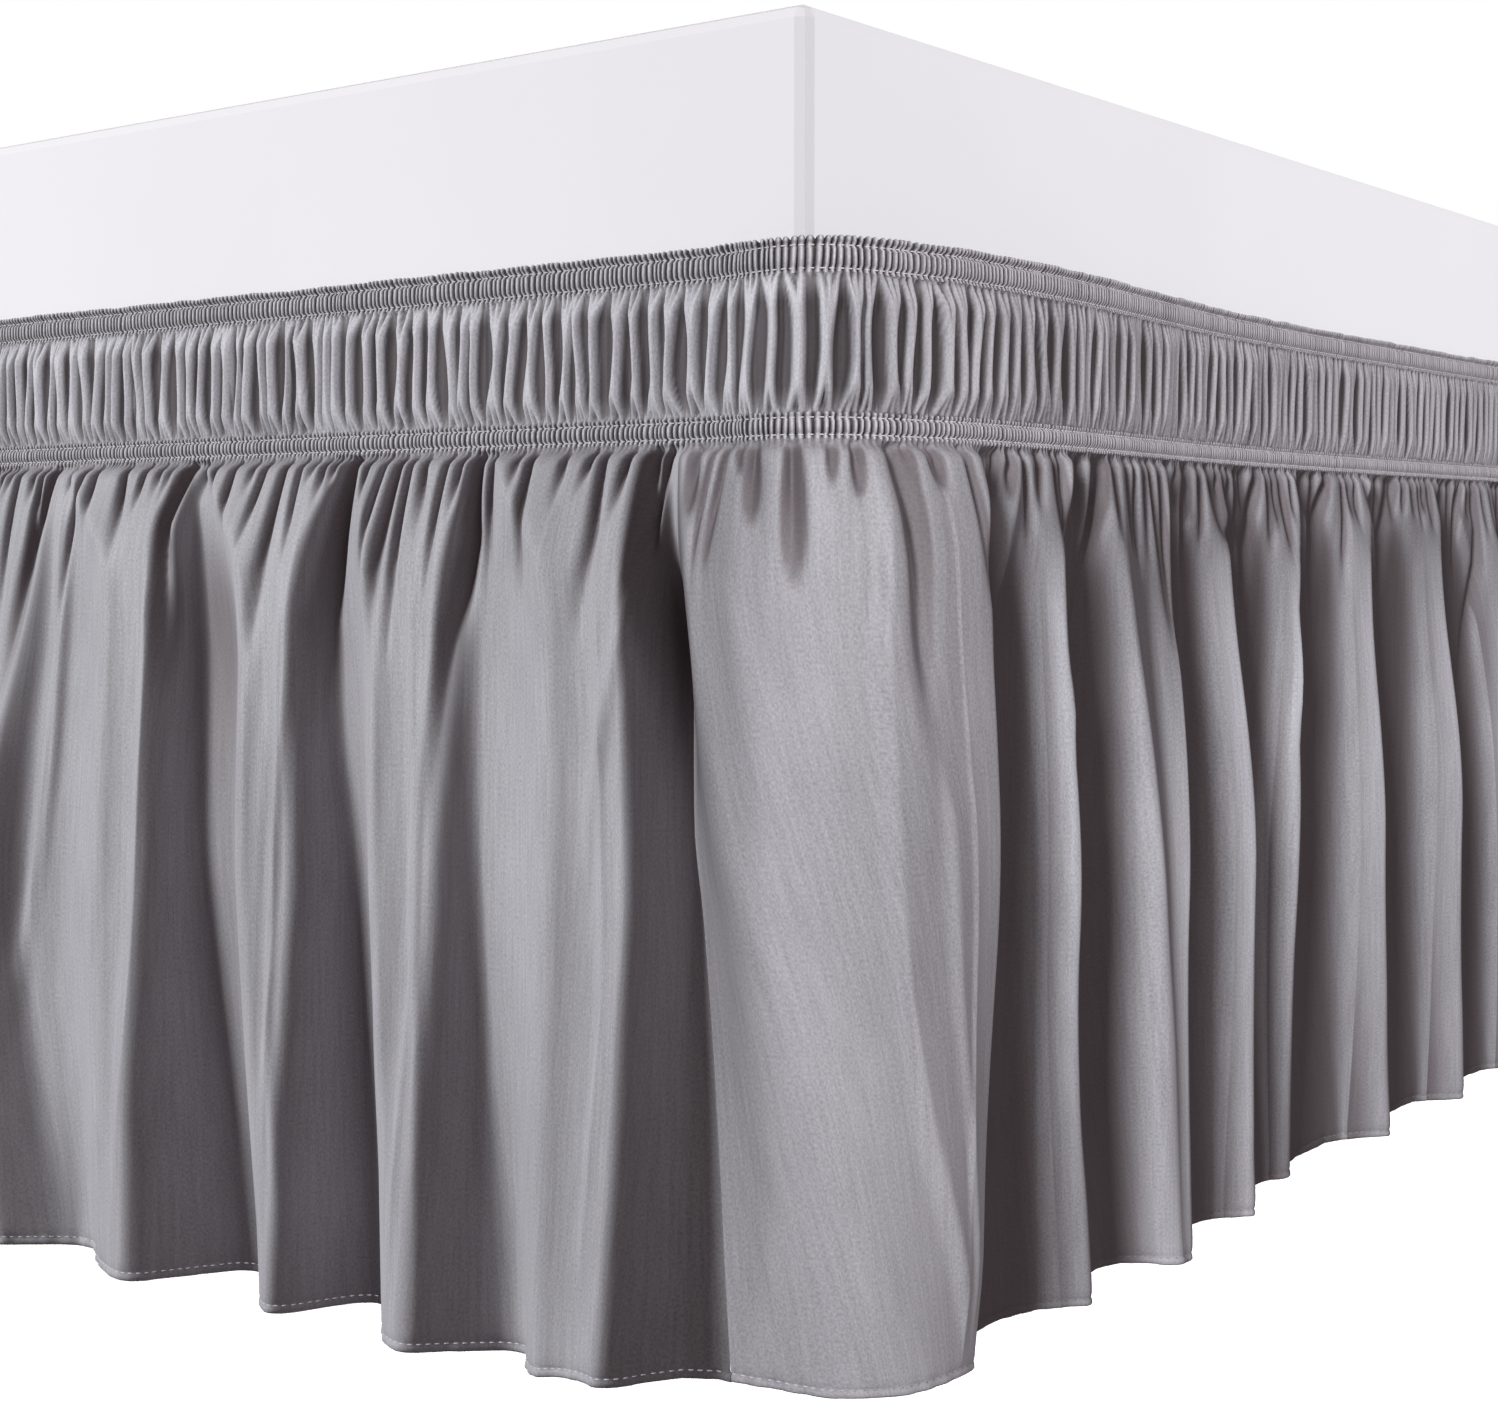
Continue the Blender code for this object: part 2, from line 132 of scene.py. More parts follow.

# Dark creases that run down from the lower band: how deep, how wide at the top
# and at the end, then the places (s, height above the hem).
CREASES = (
    # deep   wide   wide_end  s, height pairs from the top down
    (0.0075, 0.0032, 0.0090, (-0.4065, 0.335, -0.4075, 0.315, -0.4150, 0.260, -0.4220, 0.198)),
    (0.0060, 0.0024, 0.0050, (-0.3740, 0.335, -0.3730, 0.302)),
    (0.0060, 0.0026, 0.0060, (-0.3540, 0.335, -0.3485, 0.292)),
    (0.0095, 0.0040, 0.0100, (-0.3125, 0.335, -0.3175, 0.310, -0.3135, 0.280, -0.3060, 0.215)),
    (0.0060, 0.0024, 0.0045, (-0.2815, 0.335, -0.2805, 0.297)),
    (0.0060, 0.0028, 0.0070, (-0.2500, 0.335, -0.2515, 0.280, -0.2550, 0.240)),
    (0.0095, 0.0040, 0.0100, (-0.2115, 0.335, -0.2180, 0.273, -0.2120, 0.215)),
    (0.0060, 0.0028, 0.0070, (-0.1835, 0.335, -0.1855, 0.273, -0.1825, 0.235)),
    (0.0055, 0.0024, 0.0045, (-0.1695, 0.335, -0.1640, 0.302)),
    (0.0075, 0.0030, 0.0080, (-0.1430, 0.335, -0.1395, 0.305, -0.1425, 0.268, -0.1400, 0.188)),
    (0.0060, 0.0026, 0.0060, (-0.1355, 0.335, -0.1285, 0.275)),
    (0.0060, 0.0026, 0.0065, (-0.1140, 0.335, -0.1085, 0.265)),
    (0.0050, 0.0024, 0.0035, (-0.0970, 0.335, -0.0955, 0.315)),
    (0.0060, 0.0026, 0.0065, (-0.0775, 0.335, -0.0740, 0.307, -0.0780, 0.263)),
    (0.0100, 0.0042, 0.0110, (-0.0550, 0.335, -0.0505, 0.297, -0.0350, 0.250, -0.0265, 0.200)),
    (0.0055, 0.0026, 0.0050, (-0.0360, 0.335, -0.0335, 0.308)),
    (0.0055, 0.0026, 0.0050, (-0.0125, 0.335, -0.0120, 0.305)),
    (0.0065, 0.0026, 0.0050, (-0.0040, 0.338, -0.0040, 0.283)),
    (0.0055, 0.0022, 0.0030, (0.0080, 0.335, 0.0075, 0.315)),
    (0.0092, 0.0044, 0.0040, (0.0172, 0.338, 0.0178, 0.297, 0.0176, 0.242)),
    (0.0045, 0.0022, 0.0030, (0.0290, 0.335, 0.0285, 0.320)),
    (0.0060, 0.0024, 0.0045, (0.0435, 0.335, 0.0460, 0.278)),
    (0.0095, 0.0036, 0.0100, (0.0630, 0.335, 0.0600, 0.312, 0.0660, 0.265, 0.0680, 0.195)),
    (0.0060, 0.0026, 0.0045, (0.0850, 0.335, 0.0925, 0.297)),
    (0.0065, 0.0026, 0.0050, (0.1080, 0.338, 0.1120, 0.283)),
    (0.0090, 0.0040, 0.0100, (0.1545, 0.338, 0.1430, 0.297, 0.1430, 0.235, 0.1470, 0.190)),
    (0.0060, 0.0026, 0.0045, (0.1855, 0.338, 0.1850, 0.288)),
    (0.0070, 0.0030, 0.0070, (0.2250, 0.335, 0.2295, 0.295, 0.2280, 0.230)),
    (0.0085, 0.0032, 0.0070, (0.2730, 0.335, 0.2805, 0.312, 0.2895, 0.295)),
    (0.0085, 0.0032, 0.0080, (0.3320, 0.335, 0.3235, 0.295, 0.3180, 0.242, 0.3085, 0.208)),
    (0.0055, 0.0026, 0.0045, (0.3680, 0.335, 0.3665, 0.312)),
    (0.0085, 0.0032, 0.0090, (0.4165, 0.335, 0.4060, 0.305, 0.3985, 0.270)),
    (0.0055, 0.0026, 0.0045, (0.4495, 0.335, 0.4450, 0.308)),
    (0.0085, 0.0034, 0.0090, (0.5005, 0.335, 0.4890, 0.295, 0.4745, 0.225, 0.4620, 0.160)),
    (0.0055, 0.0026, 0.0045, (0.5350, 0.335, 0.5350, 0.308)),
    (0.0060, 0.0026, 0.0045, (0.6015, 0.335, 0.5955, 0.305)),
    (0.0075, 0.0030, 0.0080, (0.6190, 0.330, 0.6200, 0.292, 0.5925, 0.180)),
)

# Long thin ridges and grooves: height, width, s at its bottom and its top, and
# the heights it runs between.
HAND_LINES = (
    (0.0016, 0.0034, 0.0140, 0.0170, 0.200, 0.346),
    (0.0018, 0.0036, -0.0100, -0.0150, 0.170, 0.346),
    (0.0016, 0.0040, -0.0110, -0.0080, 0.010, 0.200),
    (0.0016, 0.0034, -0.3920, -0.3800, 0.160, 0.346),
    (0.0014, 0.0034, -0.0620, -0.0540, 0.190, 0.330),
    (0.0014, 0.0034, -0.1400, -0.1470, 0.030, 0.290),
    (0.0014, 0.0034, -0.3060, -0.3200, 0.030, 0.310),
    (0.0014, 0.0034, -0.2150, -0.2300, 0.030, 0.300),
    (0.0030, 0.0045, 0.1080, 0.1230, 0.235, 0.352),
    (0.0030, 0.0040, 0.0680, 0.0800, 0.260, 0.352),
    (0.0030, 0.0042, 0.1450, 0.1400, 0.250, 0.352),
    (0.0030, 0.0042, 0.2440, 0.2380, 0.245, 0.352),
    (0.0030, 0.0042, 0.3180, 0.3000, 0.245, 0.352),
    (0.0030, 0.0042, 0.4000, 0.3850, 0.235, 0.352),
    (0.0030, 0.0042, 0.4820, 0.4700, 0.235, 0.352),
)

# Crisp creases that catch the light: height, reach before and after, then (s, z) from the top down.
EDGE_LINES = (
    (0.0042, 0.0026, 0.0120, (0.0125, 0.338, 0.0105, 0.278, 0.0110, 0.208, 0.0130, 0.158, 0.0180, 0.105, 0.0275, 0.036)),
    (0.0020, 0.0026, 0.0080, (0.0215, 0.235, 0.0230, 0.160, 0.0275, 0.100, 0.0350, 0.044)),
    (0.0019, 0.0034, 0.0070, (-0.3920, 0.338, -0.3880, 0.250, -0.3960, 0.170, -0.4020, 0.120)),
    (0.0019, 0.0034, 0.0070, (-0.3220, 0.300, -0.3120, 0.230, -0.3060, 0.150, -0.3060, 0.070)),
    (0.0019, 0.0034, 0.0070, (-0.2360, 0.300, -0.2240, 0.220, -0.2200, 0.150, -0.2240, 0.080)),
    (0.0019, 0.0034, 0.0070, (-0.1640, 0.300, -0.1500, 0.220, -0.1440, 0.150, -0.1540, 0.060)),
    (0.0019, 0.0034, 0.0070, (-0.0680, 0.300, -0.0560, 0.220, -0.0500, 0.150, -0.0560, 0.060)),
)

# ---- the path round the box spring -------------------------------------------
INSET = CORNER_R - STAND_OFF
HX, HY = BASE_W / 2 - INSET, BASE_L / 2 - INSET
ARC = CORNER_R * math.pi / 2
EDGES = np.cumsum([0, ARC / 2, 2 * HY, ARC, 2 * HX, ARC, 2 * HY, ARC, 2 * HX, ARC / 2])
LOOP = float(EDGES[-1])
TURN = np.radians([-45, 0, 0, 90, 90, 180, 180, 270, 270, 315])
CENTRE_X = HX * np.array([1, 1, 1, 1, -1, -1, -1, -1, 1, 1])
CENTRE_Y = HY * np.array([-1, -1, 1, 1, 1, 1, -1, -1, -1, -1])
CORNER_S = (0.0, ARC + 2 * HY, 2 * ARC + 2 * HY + 2 * HX, 3 * ARC + 4 * HY + 2 * HX)


def smooth(low, high, value):
    t = np.clip((value - low) / (high - low), 0, 1)
    return t * t * (3 - 2 * t)


def from_corner(s, corner):
    return np.mod(s - CORNER_S[corner] + LOOP / 2, LOOP) - LOOP / 2


def bulge(s):
    """How far the cloth stands outside the path because of the corners."""
    total = np.zeros_like(s)
    for k, (before, after, reach_before, reach_after) in enumerate(CORNERS):
        d = from_corner(s, k)
        side = before + (after - before) * smooth(-0.03, 0.05, d)
        fade = np.where(
            d < 0,
            np.exp(-((d / reach_before) ** 2)),
            np.exp(-((np.maximum(d - 0.075, 0) / reach_after) ** 2)),
        )
        total += side * fade + PEAK * np.exp(-((d / PEAK_REACH) ** 2))
    return total


def place(s, n, z):
    """World points for places on the loop."""
    s = np.mod(s, LOOP)
    turn = np.interp(s, EDGES, TURN)
    reach = CORNER_R + n
    x = np.interp(s, EDGES, CENTRE_X) + reach * np.cos(turn)
    y = np.interp(s, EDGES, CENTRE_Y) + reach * np.sin(turn)
    return np.stack([x, y, np.broadcast_to(z, x.shape)], axis=-1)


def from_zero(s):
    """s taken to between half a loop before the corner and half a loop after it."""
    return np.mod(s + LOOP / 2, LOOP) - LOOP / 2


TRACK_S = np.linspace(-LOOP / 2, LOOP / 2, 24001)
TRACK_STEP = np.linalg.norm(np.diff(place(TRACK_S, bulge(TRACK_S), 0 * TRACK_S), axis=0), axis=1)
TRACK = np.concatenate([[0], np.cumsum(TRACK_STEP)])
AROUND = float(TRACK[-1])


def s_after(length):
    """The place a true length round from half a loop before the corner."""
    return np.interp(length, TRACK, TRACK_S)


def stretch(s):
    """True length along the bands for each metre of s."""
    return np.interp(from_zero(s), (TRACK_S[1:] + TRACK_S[:-1]) / 2, TRACK_STEP / np.diff(TRACK_S))


def beside(s):
    """1 on the long side after the photographed corner, 0 on the foot."""
    d = from_zero(s)
    return smooth(0.02, 0.10, d) * (1 - smooth(2.0, 2.4, d))


def fine_share(s):
    """1 on the stretch whose folds are listed one by one, 0 elsewhere, with a short change between."""
    d = from_zero(s)
    return smooth(FINE[0] - 0.05, FINE[0], d) * (1 - smooth(FINE[1], FINE[1] + 0.05, d))


# ---- the main folds, as the solids have them ------------------------------------
def plain_rows():
    """The folds away from the photographed corner: (s, half width, n) at three levels and the valley's n."""
    import random

    rng = random.Random(FOLD_SEED)
    first, last = FOLDS[0][2], FOLDS[-1][2]
    first, last = (first[0] + first[2]) / 2, (last[0] + last[2]) / 2
    rows = []
    gaps = [rng.uniform(0.72, 1.28) for _ in range(PLAIN_FOLDS + 1)]
    span = (first + LOOP) - last
    gaps = [gap * span / sum(gaps) for gap in gaps]
    s = last
    for i in range(PLAIN_FOLDS):
        s += gaps[i]
        room = min(gaps[i], gaps[i + 1])
        near = min(abs(float(from_corner(np.array(s), k))) for k in range(4))
        wide = 1 + 0.5 * math.exp(-((near / 0.06) ** 2))
        half = room * rng.uniform(0.10, 0.16)
        out = rng.uniform(0.036, 0.050)
        drift = rng.uniform(-0.014, 0.014)
        rows.append(
            [
                s + drift, half * 1.5 * wide, rng.uniform(0.017, 0.021),
                s + 0.5 * drift * rng.uniform(0.3, 1.4), half * 1.15 * wide, out * rng.uniform(0.72, 0.86),
                s, half * wide, out,
                0.001, 0.001 + 0.003 * rng.random(), rng.uniform(-0.002, 0.010),
            ]
        )  # fmt: skip
    return rows


def all_folds():
    """The folds listed in FOLDS, then the others in the same form."""
    rng = np.random.RandomState(8)
    folds = [list(fold) for fold in FOLDS]
    rows = plain_rows()
    firsts = [[FOLDS[0][level][0] + LOOP, FOLDS[0][level][1]] for level in range(3)]
    for i, row in enumerate(rows):
        kind = "left" if rng.rand() < 0.5 else "right"
        near, far = (0.30, 0.34) if kind == "left" else (0.18, 0.42)
        near, far = near * rng.uniform(0.8, 1.2), far * rng.uniform(0.8, 1.2)
        made = []
        for level in range(3):
            s, half, out = row[3 * level : 3 * level + 3]
            low = row[9 + level] + (0.004 if level else 0.001)
            if i + 1 < len(rows):
                after = rows[i + 1][3 * level] - rows[i + 1][3 * level + 1]
            else:
                after = firsts[level][0]
            gap = after - (s + half)
            made.append((s - half, out, s + half, out, s + half + near * gap, low, after - far * gap, low))
        centre = (made[0][4] + made[0][6]) / 2
        folds.append([*made, centre + rng.uniform(-0.010, 0.010), rng.uniform(-0.001, 0.003), kind])
    return folds


PER_FOLD = 6


def knots():
    """Places (s, n, rounding) of the cross-section's knots, (PER_FOLD a fold, levels)."""
    folds = all_folds()
    count = len(folds)
    made = np.zeros((PER_FOLD * count, len(LEVELS), 3))
    for i, (upper, middle, hem, start, hollowness_and_painted_shade, kind) in enumerate(folds):
        after, wrap = folds[(i + 1) % count], LOOP if i + 1 == count else 0.0
        before = folds[i - 1][3] - (LOOP if i == 0 else 0.0)
        k = PER_FOLD * i
        for level, (row, next_row, share, round_share) in enumerate(
            ((hem, after[2], 0.8, 1.15), (middle, after[1], 1.0, 1.0), (upper, after[0], 0.7, 0.75))
        ):
            s_l, n_l, s_r, n_r, s_f, n_f, s_g, n_g = row
            s_next, n_next = next_row[0] + wrap, next_row[1]
            along, rise = (0.55, 0.46) if i < 5 else ((0.66, 0.18), (0.64, 0.18), (0.60, 0.24))[level]
            if kind == "right":
                # the face steepens all the way to its crisp right edge
                past = folds[i - 1][2 - level]
                s_past, n_past = past[6] - (LOOP if i == 0 else 0.0), past[7]
                n_l = n_past + (n_r - n_past) * ((s_l - s_past) / (s_r - s_past)) ** 2
            s_far, n_far = (next_row[2] + wrap, next_row[3]) if after[5] == "right" else (s_next, n_next)
            if i >= 5:
                rise = (along * (s_next - s_g) / (s_far - s_g)) ** 2
                n_next = n_far
            made[k : k + PER_FOLD, level, 0] = (
                s_l, (s_l + s_r) / 2, s_r, s_f, s_g, s_g + along * (s_next - s_g),
            )  # fmt: skip
            # in this loop the fold's fifth entry is how far its face dips in or swells out: a shape only, with no
            # painted shade in it
            made[k : k + PER_FOLD, level, 1] = (
                n_l, (n_l + n_r) / 2 - hollowness_and_painted_shade * share, n_r, n_f, n_g, n_g + rise * (n_next - n_g),
            )  # fmt: skip
            made[k : k + PER_FOLD, level, 2] = np.array(ROUNDING[kind]) * round_share
            if level == 0:
                made[k, 0, 2] *= 1.6
                made[k + 2, 0, 2] *= 2.4 if kind == "corner" else 1.8 if i > 5 else 1.0
    # under the band each valley starts as a narrow V
    for i in range(count):
        k = PER_FOLD * i
        starts = []
        for j in (i - 1, i):
            upper, shift = folds[j][0], LOOP if j < 0 else 0.0
            starts.append(min(max(folds[j][3], upper[4] - 0.003), upper[6] + 0.003) - shift)
        left, right = starts[0] + 0.0045, starts[1] - 0.0045
        if folds[i][5] != "left":
            right = min(right, max(left + 0.004, 0.35 * right + 0.65 * (folds[i][0][2] + 0.008)))
        made[k : k + PER_FOLD, 4, 0] = (
            left, (left + right) / 2, right, right + 0.0031, starts[1] + 0.0014, starts[1] + 0.0030,
        )  # fmt: skip
        made[k : k + PER_FOLD, 4, 1] = (0.0030, 0.0030, 0.0030, 0.0004, 0.0004, 0.0012)
        made[k : k + PER_FOLD, 4, 2] = 0.0020
        made[k : k + PER_FOLD, 3, 1] = 0.0008 + 0.50 * np.maximum(made[k : k + PER_FOLD, 2, 1] - 0.0010, 0)
        made[k : k + PER_FOLD, 3, 2] = 0.6 * made[k : k + PER_FOLD, 2, 2]
    made[:, 3, 0] = 0.40 * made[:, 2, 0] + 0.60 * made[:, 4, 0]
    for k in range(1, len(made)):
        made[k, :, 0] = np.maximum(made[k, :, 0], made[k - 1, :, 0] + 0.0006)
    return made


KNOTS = knots()


def at_height(z):
    """The knots at one height, by a smooth curve through the levels."""
    z = float(np.clip(z, LEVELS[0], LEVELS[-1]))
    k = int(np.clip(np.searchsorted(LEVELS, z, side="right") - 1, 0, len(LEVELS) - 2))
    step = np.diff(LEVELS)
    slope = np.diff(KNOTS, axis=1) / step[None, :, None]

    def tangent(i):
        if i == 0:
            return slope[:, 0]
        if i == len(LEVELS) - 1:
            return slope[:, -1]
        # never past the levels on either side
        a, b = step[i - 1], step[i]
        below, above = slope[:, i - 1], slope[:, i]
        same = below * above > 0
        below, above = np.where(same, below, 1.0), np.where(same, above, 1.0)
        return np.where(same, 3 * (a + b) / ((2 * b + a) / below + (b + 2 * a) / above), 0.0)

    h = step[k]
    u = (z - LEVELS[k]) / h
    found = (
        (2 * u**3 - 3 * u**2 + 1) * KNOTS[:, k]
        + (u**3 - 2 * u**2 + u) * h * tangent(k)
        + (-2 * u**3 + 3 * u**2) * KNOTS[:, k + 1]
        + (u**3 - u**2) * h * tangent(k + 1)
    )
    for i in range(1, len(found)):
        if found[i, 0] < found[i - 1, 0] + 0.0004:
            found[i, 0] = found[i - 1, 0] + 0.0004
    return found


def section(z, t):
    """(s, n) of the cross-section at one height, and the n of the folds' faces there, at parameters t.

    The columns follow the folds up to the upper level and stand straight above it.
    """
    found = at_height(z)
    count = len(found)
    s_k, n_k, r_k = found.T
    lengths = np.diff(np.append(s_k, s_k[0] + LOOP))
    slopes = np.diff(np.append(n_k, n_k[0])) / lengths
    turn = slopes - np.roll(slopes, 1)
    r_k = np.clip(r_k, 0.0010, 1.25 * np.minimum(lengths, np.roll(lengths, 1)))

    def look(values, index):
        return values[np.mod(index, count)]

    def laid(values, index):
        return values[np.mod(index, count)] + LOOP * np.floor_divide(index, count)

    cell = np.floor(t).astype(int)
    u = t - cell
    columns = s_k if z < LEVELS[2] else KNOTS[:, 2, 0]
    s = laid(columns, cell) * (1 - u) + laid(columns, cell + 1) * u
    turns = np.floor((s - s_k[0]) / LOOP)
    within = s - turns * LOOP
    cell = np.clip(np.searchsorted(s_k, within, side="right") - 1, 0, count - 1)
    u = (within - s_k[cell]) / lengths[cell]
    n = look(n_k, cell) * (1 - u) + look(n_k, cell + 1) * u
    for k in range(-5, 7):
        index = cell + k
        reach = look(r_k, index)
        n = n + look(turn, index) * np.maximum(reach - np.abs(within - laid(s_k, index)), 0) ** 2 / (4 * reach)
    fold = np.floor_divide(cell, PER_FOLD) * PER_FOLD
    left, right, after = look(n_k, fold), look(n_k, fold + 2), look(n_k, fold + PER_FOLD)
    place_in = (cell + u - fold) / PER_FOLD
    face = np.where(place_in < 0.33, np.maximum(left, right), right + (after - right) * np.clip((place_in - 0.33) / 0.67, 0, 1))
    return s, n, face


def hem_raise(s):
    return CORNER_RAISE * np.exp(-(((from_corner(s, 0) + 0.01) / 0.075) ** 4))


# ---- the finer folds --------------------------------------------------------------
def lattice_noise(x, seed, period=None):
    """Smooth values in -1..1 along x, one free value for each whole number."""
    rng = np.random.RandomState(seed)
    table = rng.uniform(-1, 1, 4096)
    cell = np.floor(x).astype(int)
    u = x - cell
    u = u * u * (3 - 2 * u)
    if period:
        a, b = np.mod(cell, period), np.mod(cell + 1, period)
    else:
        a, b = cell, cell + 1
    return table[np.mod(a, 4096)] * (1 - u) + table[np.mod(b, 4096)] * u


def noise_2d(x, y, seed):
    rng = np.random.RandomState(seed)
    table = rng.uniform(-1, 1, (512, 64))
    i, j = np.floor(x).astype(int), np.floor(y).astype(int)
    u, v = x - i, y - j
    u, v = u * u * (3 - 2 * u), v * v * (3 - 2 * v)
    i0, i1, j0, j1 = i % 512, (i + 1) % 512, j % 64, (j + 1) % 64
    return (
        table[i0, j0] * (1 - u) * (1 - v) + table[i1, j0] * u * (1 - v)
        + table[i0, j1] * (1 - u) * v + table[i1, j1] * u * v
    )  # fmt: skip


# ---- ribs of the shirred bands ------------------------------------------------------
def rib_places():
    """Places of the rib grooves round the loop, unevenly spaced."""
    rng = np.random.RandomState(3)
    places = [0.0]
    while places[-1] < AROUND:
        at = places[-1]
        pitch = RIB_PITCH_PLAIN + (RIB_PITCH - RIB_PITCH_PLAIN) * float(fine_share(s_after(at)))
        places.append(at + pitch * rng.uniform(0.74, 1.26))
    return s_after(np.array(places) * AROUND / places[-1])


RIBS = rib_places()


def rib_phase(s):
    return np.interp(from_zero(s), RIBS, np.arange(len(RIBS)))


def rib_shape(phase):
    """0 in a groove, about 1 on a rib, which is flat-topped."""
    f = phase - np.floor(phase)
    high = 1 + 0.14 * lattice_noise(np.floor(phase) * 1.0 + 0.5, 77)
    return high * np.abs(np.sin(np.pi * f)) ** 0.5


def groove_share(phase):
    """1 in the groove between two ribs, 0 on top of them."""
    groove = 1 - np.abs(np.sin(np.pi * (phase - np.floor(phase))))
    return np.minimum(1, 1.7 * groove**0.75)


def crease_list():
    """Every crease under the band: depth, widths and its line (s, z) with z rising."""
    rng = np.random.RandomState(29)
    made = []
    for deep, wide, wide_end, line in CREASES:
        s, z = np.array(line[0::2]), np.array(line[1::2]) + HEM_Z
        s, z = s[::-1], z[::-1]
        s = np.append(s, s[-1])
        z = np.append(z, RUFFLE_TOP + 0.002)
        if -0.045 < s[-1] < 0.055:
            deep, wide = 0.95 * deep, 0.80 * wide
        elif deep < 0.0070:
            deep, wide, wide_end = 0.72 * deep, 0.62 * wide, 0.75 * wide_end
        else:
            deep, wide = 0.85 * deep, (0.66 + 0.34 * float(beside(s[-1]))) * wide
        made.append((deep, wide, wide_end, s, z))
    tops = [float(row[3][-1]) for row in made]
    # the main valleys away from the stretch whose folds are listed one by one
    for fold in KNOTS[3::PER_FOLD][len(FOLDS) :]:
        top = fold[4, 0] + 0.0014
        if abs(from_zero(top) - sum(FINE) / 2) < (FINE[1] - FINE[0]) / 2:
            continue
        made.append(
            (0.0070, 0.0032, 0.0080, np.array([fold[1, 0], fold[2, 0] + 0.004, top, top]),
             np.array([rng.uniform(0.21, 0.25), 0.30, 0.338, RUFFLE_TOP + 0.002]))
        )  # fmt: skip
        tops.append(float(from_zero(top)))
    # the gathers between them, three to five ribs each
    k, gathers = 0, []
    while k < len(RIBS) - 1:
        k += rng.choice((3, 3, 4, 4, 5))
        s = RIBS[min(k, len(RIBS) - 1)]
        if all(abs(s - top) * stretch(s) > 0.0052 for top in tops):
            gathers.append(s)
    for s in gathers:
        pick = rng.rand()
        length = rng.uniform(0.012, 0.020) if pick < 0.40 else rng.uniform(0.020, 0.040) if pick < 0.8 else rng.uniform(0.040, 0.085)
        length = min(length + 0.010 * float(beside(s)), 0.020 if -0.02 < from_zero(s) < 0.05 else 0.090)
        lean = rng.uniform(-0.10, 0.10) / stretch(s)
        deep = rng.uniform(0.0028, 0.0046) * (1 + 0.25 * float(beside(s)))
        broad = 1 + 0.6 * float(beside(s))
        made.append(
            (deep, broad * rng.uniform(0.0012, 0.0017), broad * rng.uniform(0.0020, 0.0032),
             np.array([s + lean * length, s, s]), np.array([RUFFLE_TOP - length, RUFFLE_TOP - 0.005, RUFFLE_TOP + 0.002]))
        )  # fmt: skip
    return made


def soft_lines():
    """Long faint ridges and folds that run down the faces: height, width, s at the bottom and the top, lowest and highest z."""
    rng = np.random.RandomState(61)
    made = []
    s = -LOOP / 2
    while s < LOOP / 2:
        s += rng.uniform(0.008, 0.030)
        low = rng.uniform(-0.05, 0.16)
        high = low + rng.uniform(0.10, 0.26)
        made.append(
            (rng.uniform(-0.0008, 0.0008), rng.uniform(0.0040, 0.0080), s, s + rng.uniform(-0.012, 0.012), low, high)
        )
    made.extend(HAND_LINES)
    return made


def crease_depth(s, z, creases):
    """How far the creases draw the cloth in, on a grid of places (rows are heights)."""
    total = np.zeros_like(s)
    around, scale = from_zero(s), stretch(s)
    for deep, wide, wide_end, line_s, line_z in creases:
        end, top = line_z[0], RUFFLE_TOP
        rows = np.where(z[:, 0] > end)[0]
        if not len(rows):
            continue
        rows = slice(rows.min(), rows.max() + 1)
        centre_s = from_zero(np.interp(z[rows], line_z, line_s))
        share = np.clip((z[rows] - end) / (top - end), 0, 1)
        width = wide_end + (wide - wide_end) * share**0.8
        distance = np.abs(np.mod(around[rows] - centre_s + LOOP / 2, LOOP) - LOOP / 2) * scale[rows] / width
        depth = deep * np.minimum(1, 1.5 * share) ** 1.1
        total[rows] += depth * np.exp(-(distance**1.6))
    return total


def line_height(s, z):
    """How far the long faint ridges stand out, on a grid of places."""
    total = np.zeros_like(s)
    around = from_zero(s)
    heights = z[:, 0]
    for high, wide, s_low, s_high, z_low, z_high in LINES:
        rows = np.where((heights > z_low) & (heights < z_high))[0]
        if not len(rows):
            continue
        rows = slice(rows.min(), rows.max() + 1)
        share = (z[rows] - z_low) / (z_high - z_low)
        centre = from_zero(s_low + (s_high - s_low) * share + 0.002 * np.sin(7 * share + 50 * s_low))
        distance = np.abs(np.mod(around[rows] - centre + LOOP / 2, LOOP) - LOOP / 2) / wide
        total[rows] += high * np.sin(np.pi * np.clip(share, 0, 1)) ** 0.7 * np.exp(-(distance**2))
    return total


def edge_height(s, z):
    """The crisp edges: each rises sharply from its left and falls away slowly to its right."""
    total = np.zeros_like(s)
    around, scale = from_zero(s), stretch(s)
    for high, before, after, line in EDGE_LINES:
        line_s, line_z = np.array(line[0::2])[::-1], np.array(line[1::2])[::-1]
        d = (around - np.interp(z, line_z, line_s)) * scale
        fade = smooth(line_z[0] - 0.03, line_z[0] + 0.02, z) * (1 - smooth(line_z[-1] - 0.02, line_z[-1] + 0.004, z))
        total += high * fade * np.where(d < 0, np.exp(-((d / before) ** 2)), np.exp(-np.maximum(d, 0) / after))
    return total


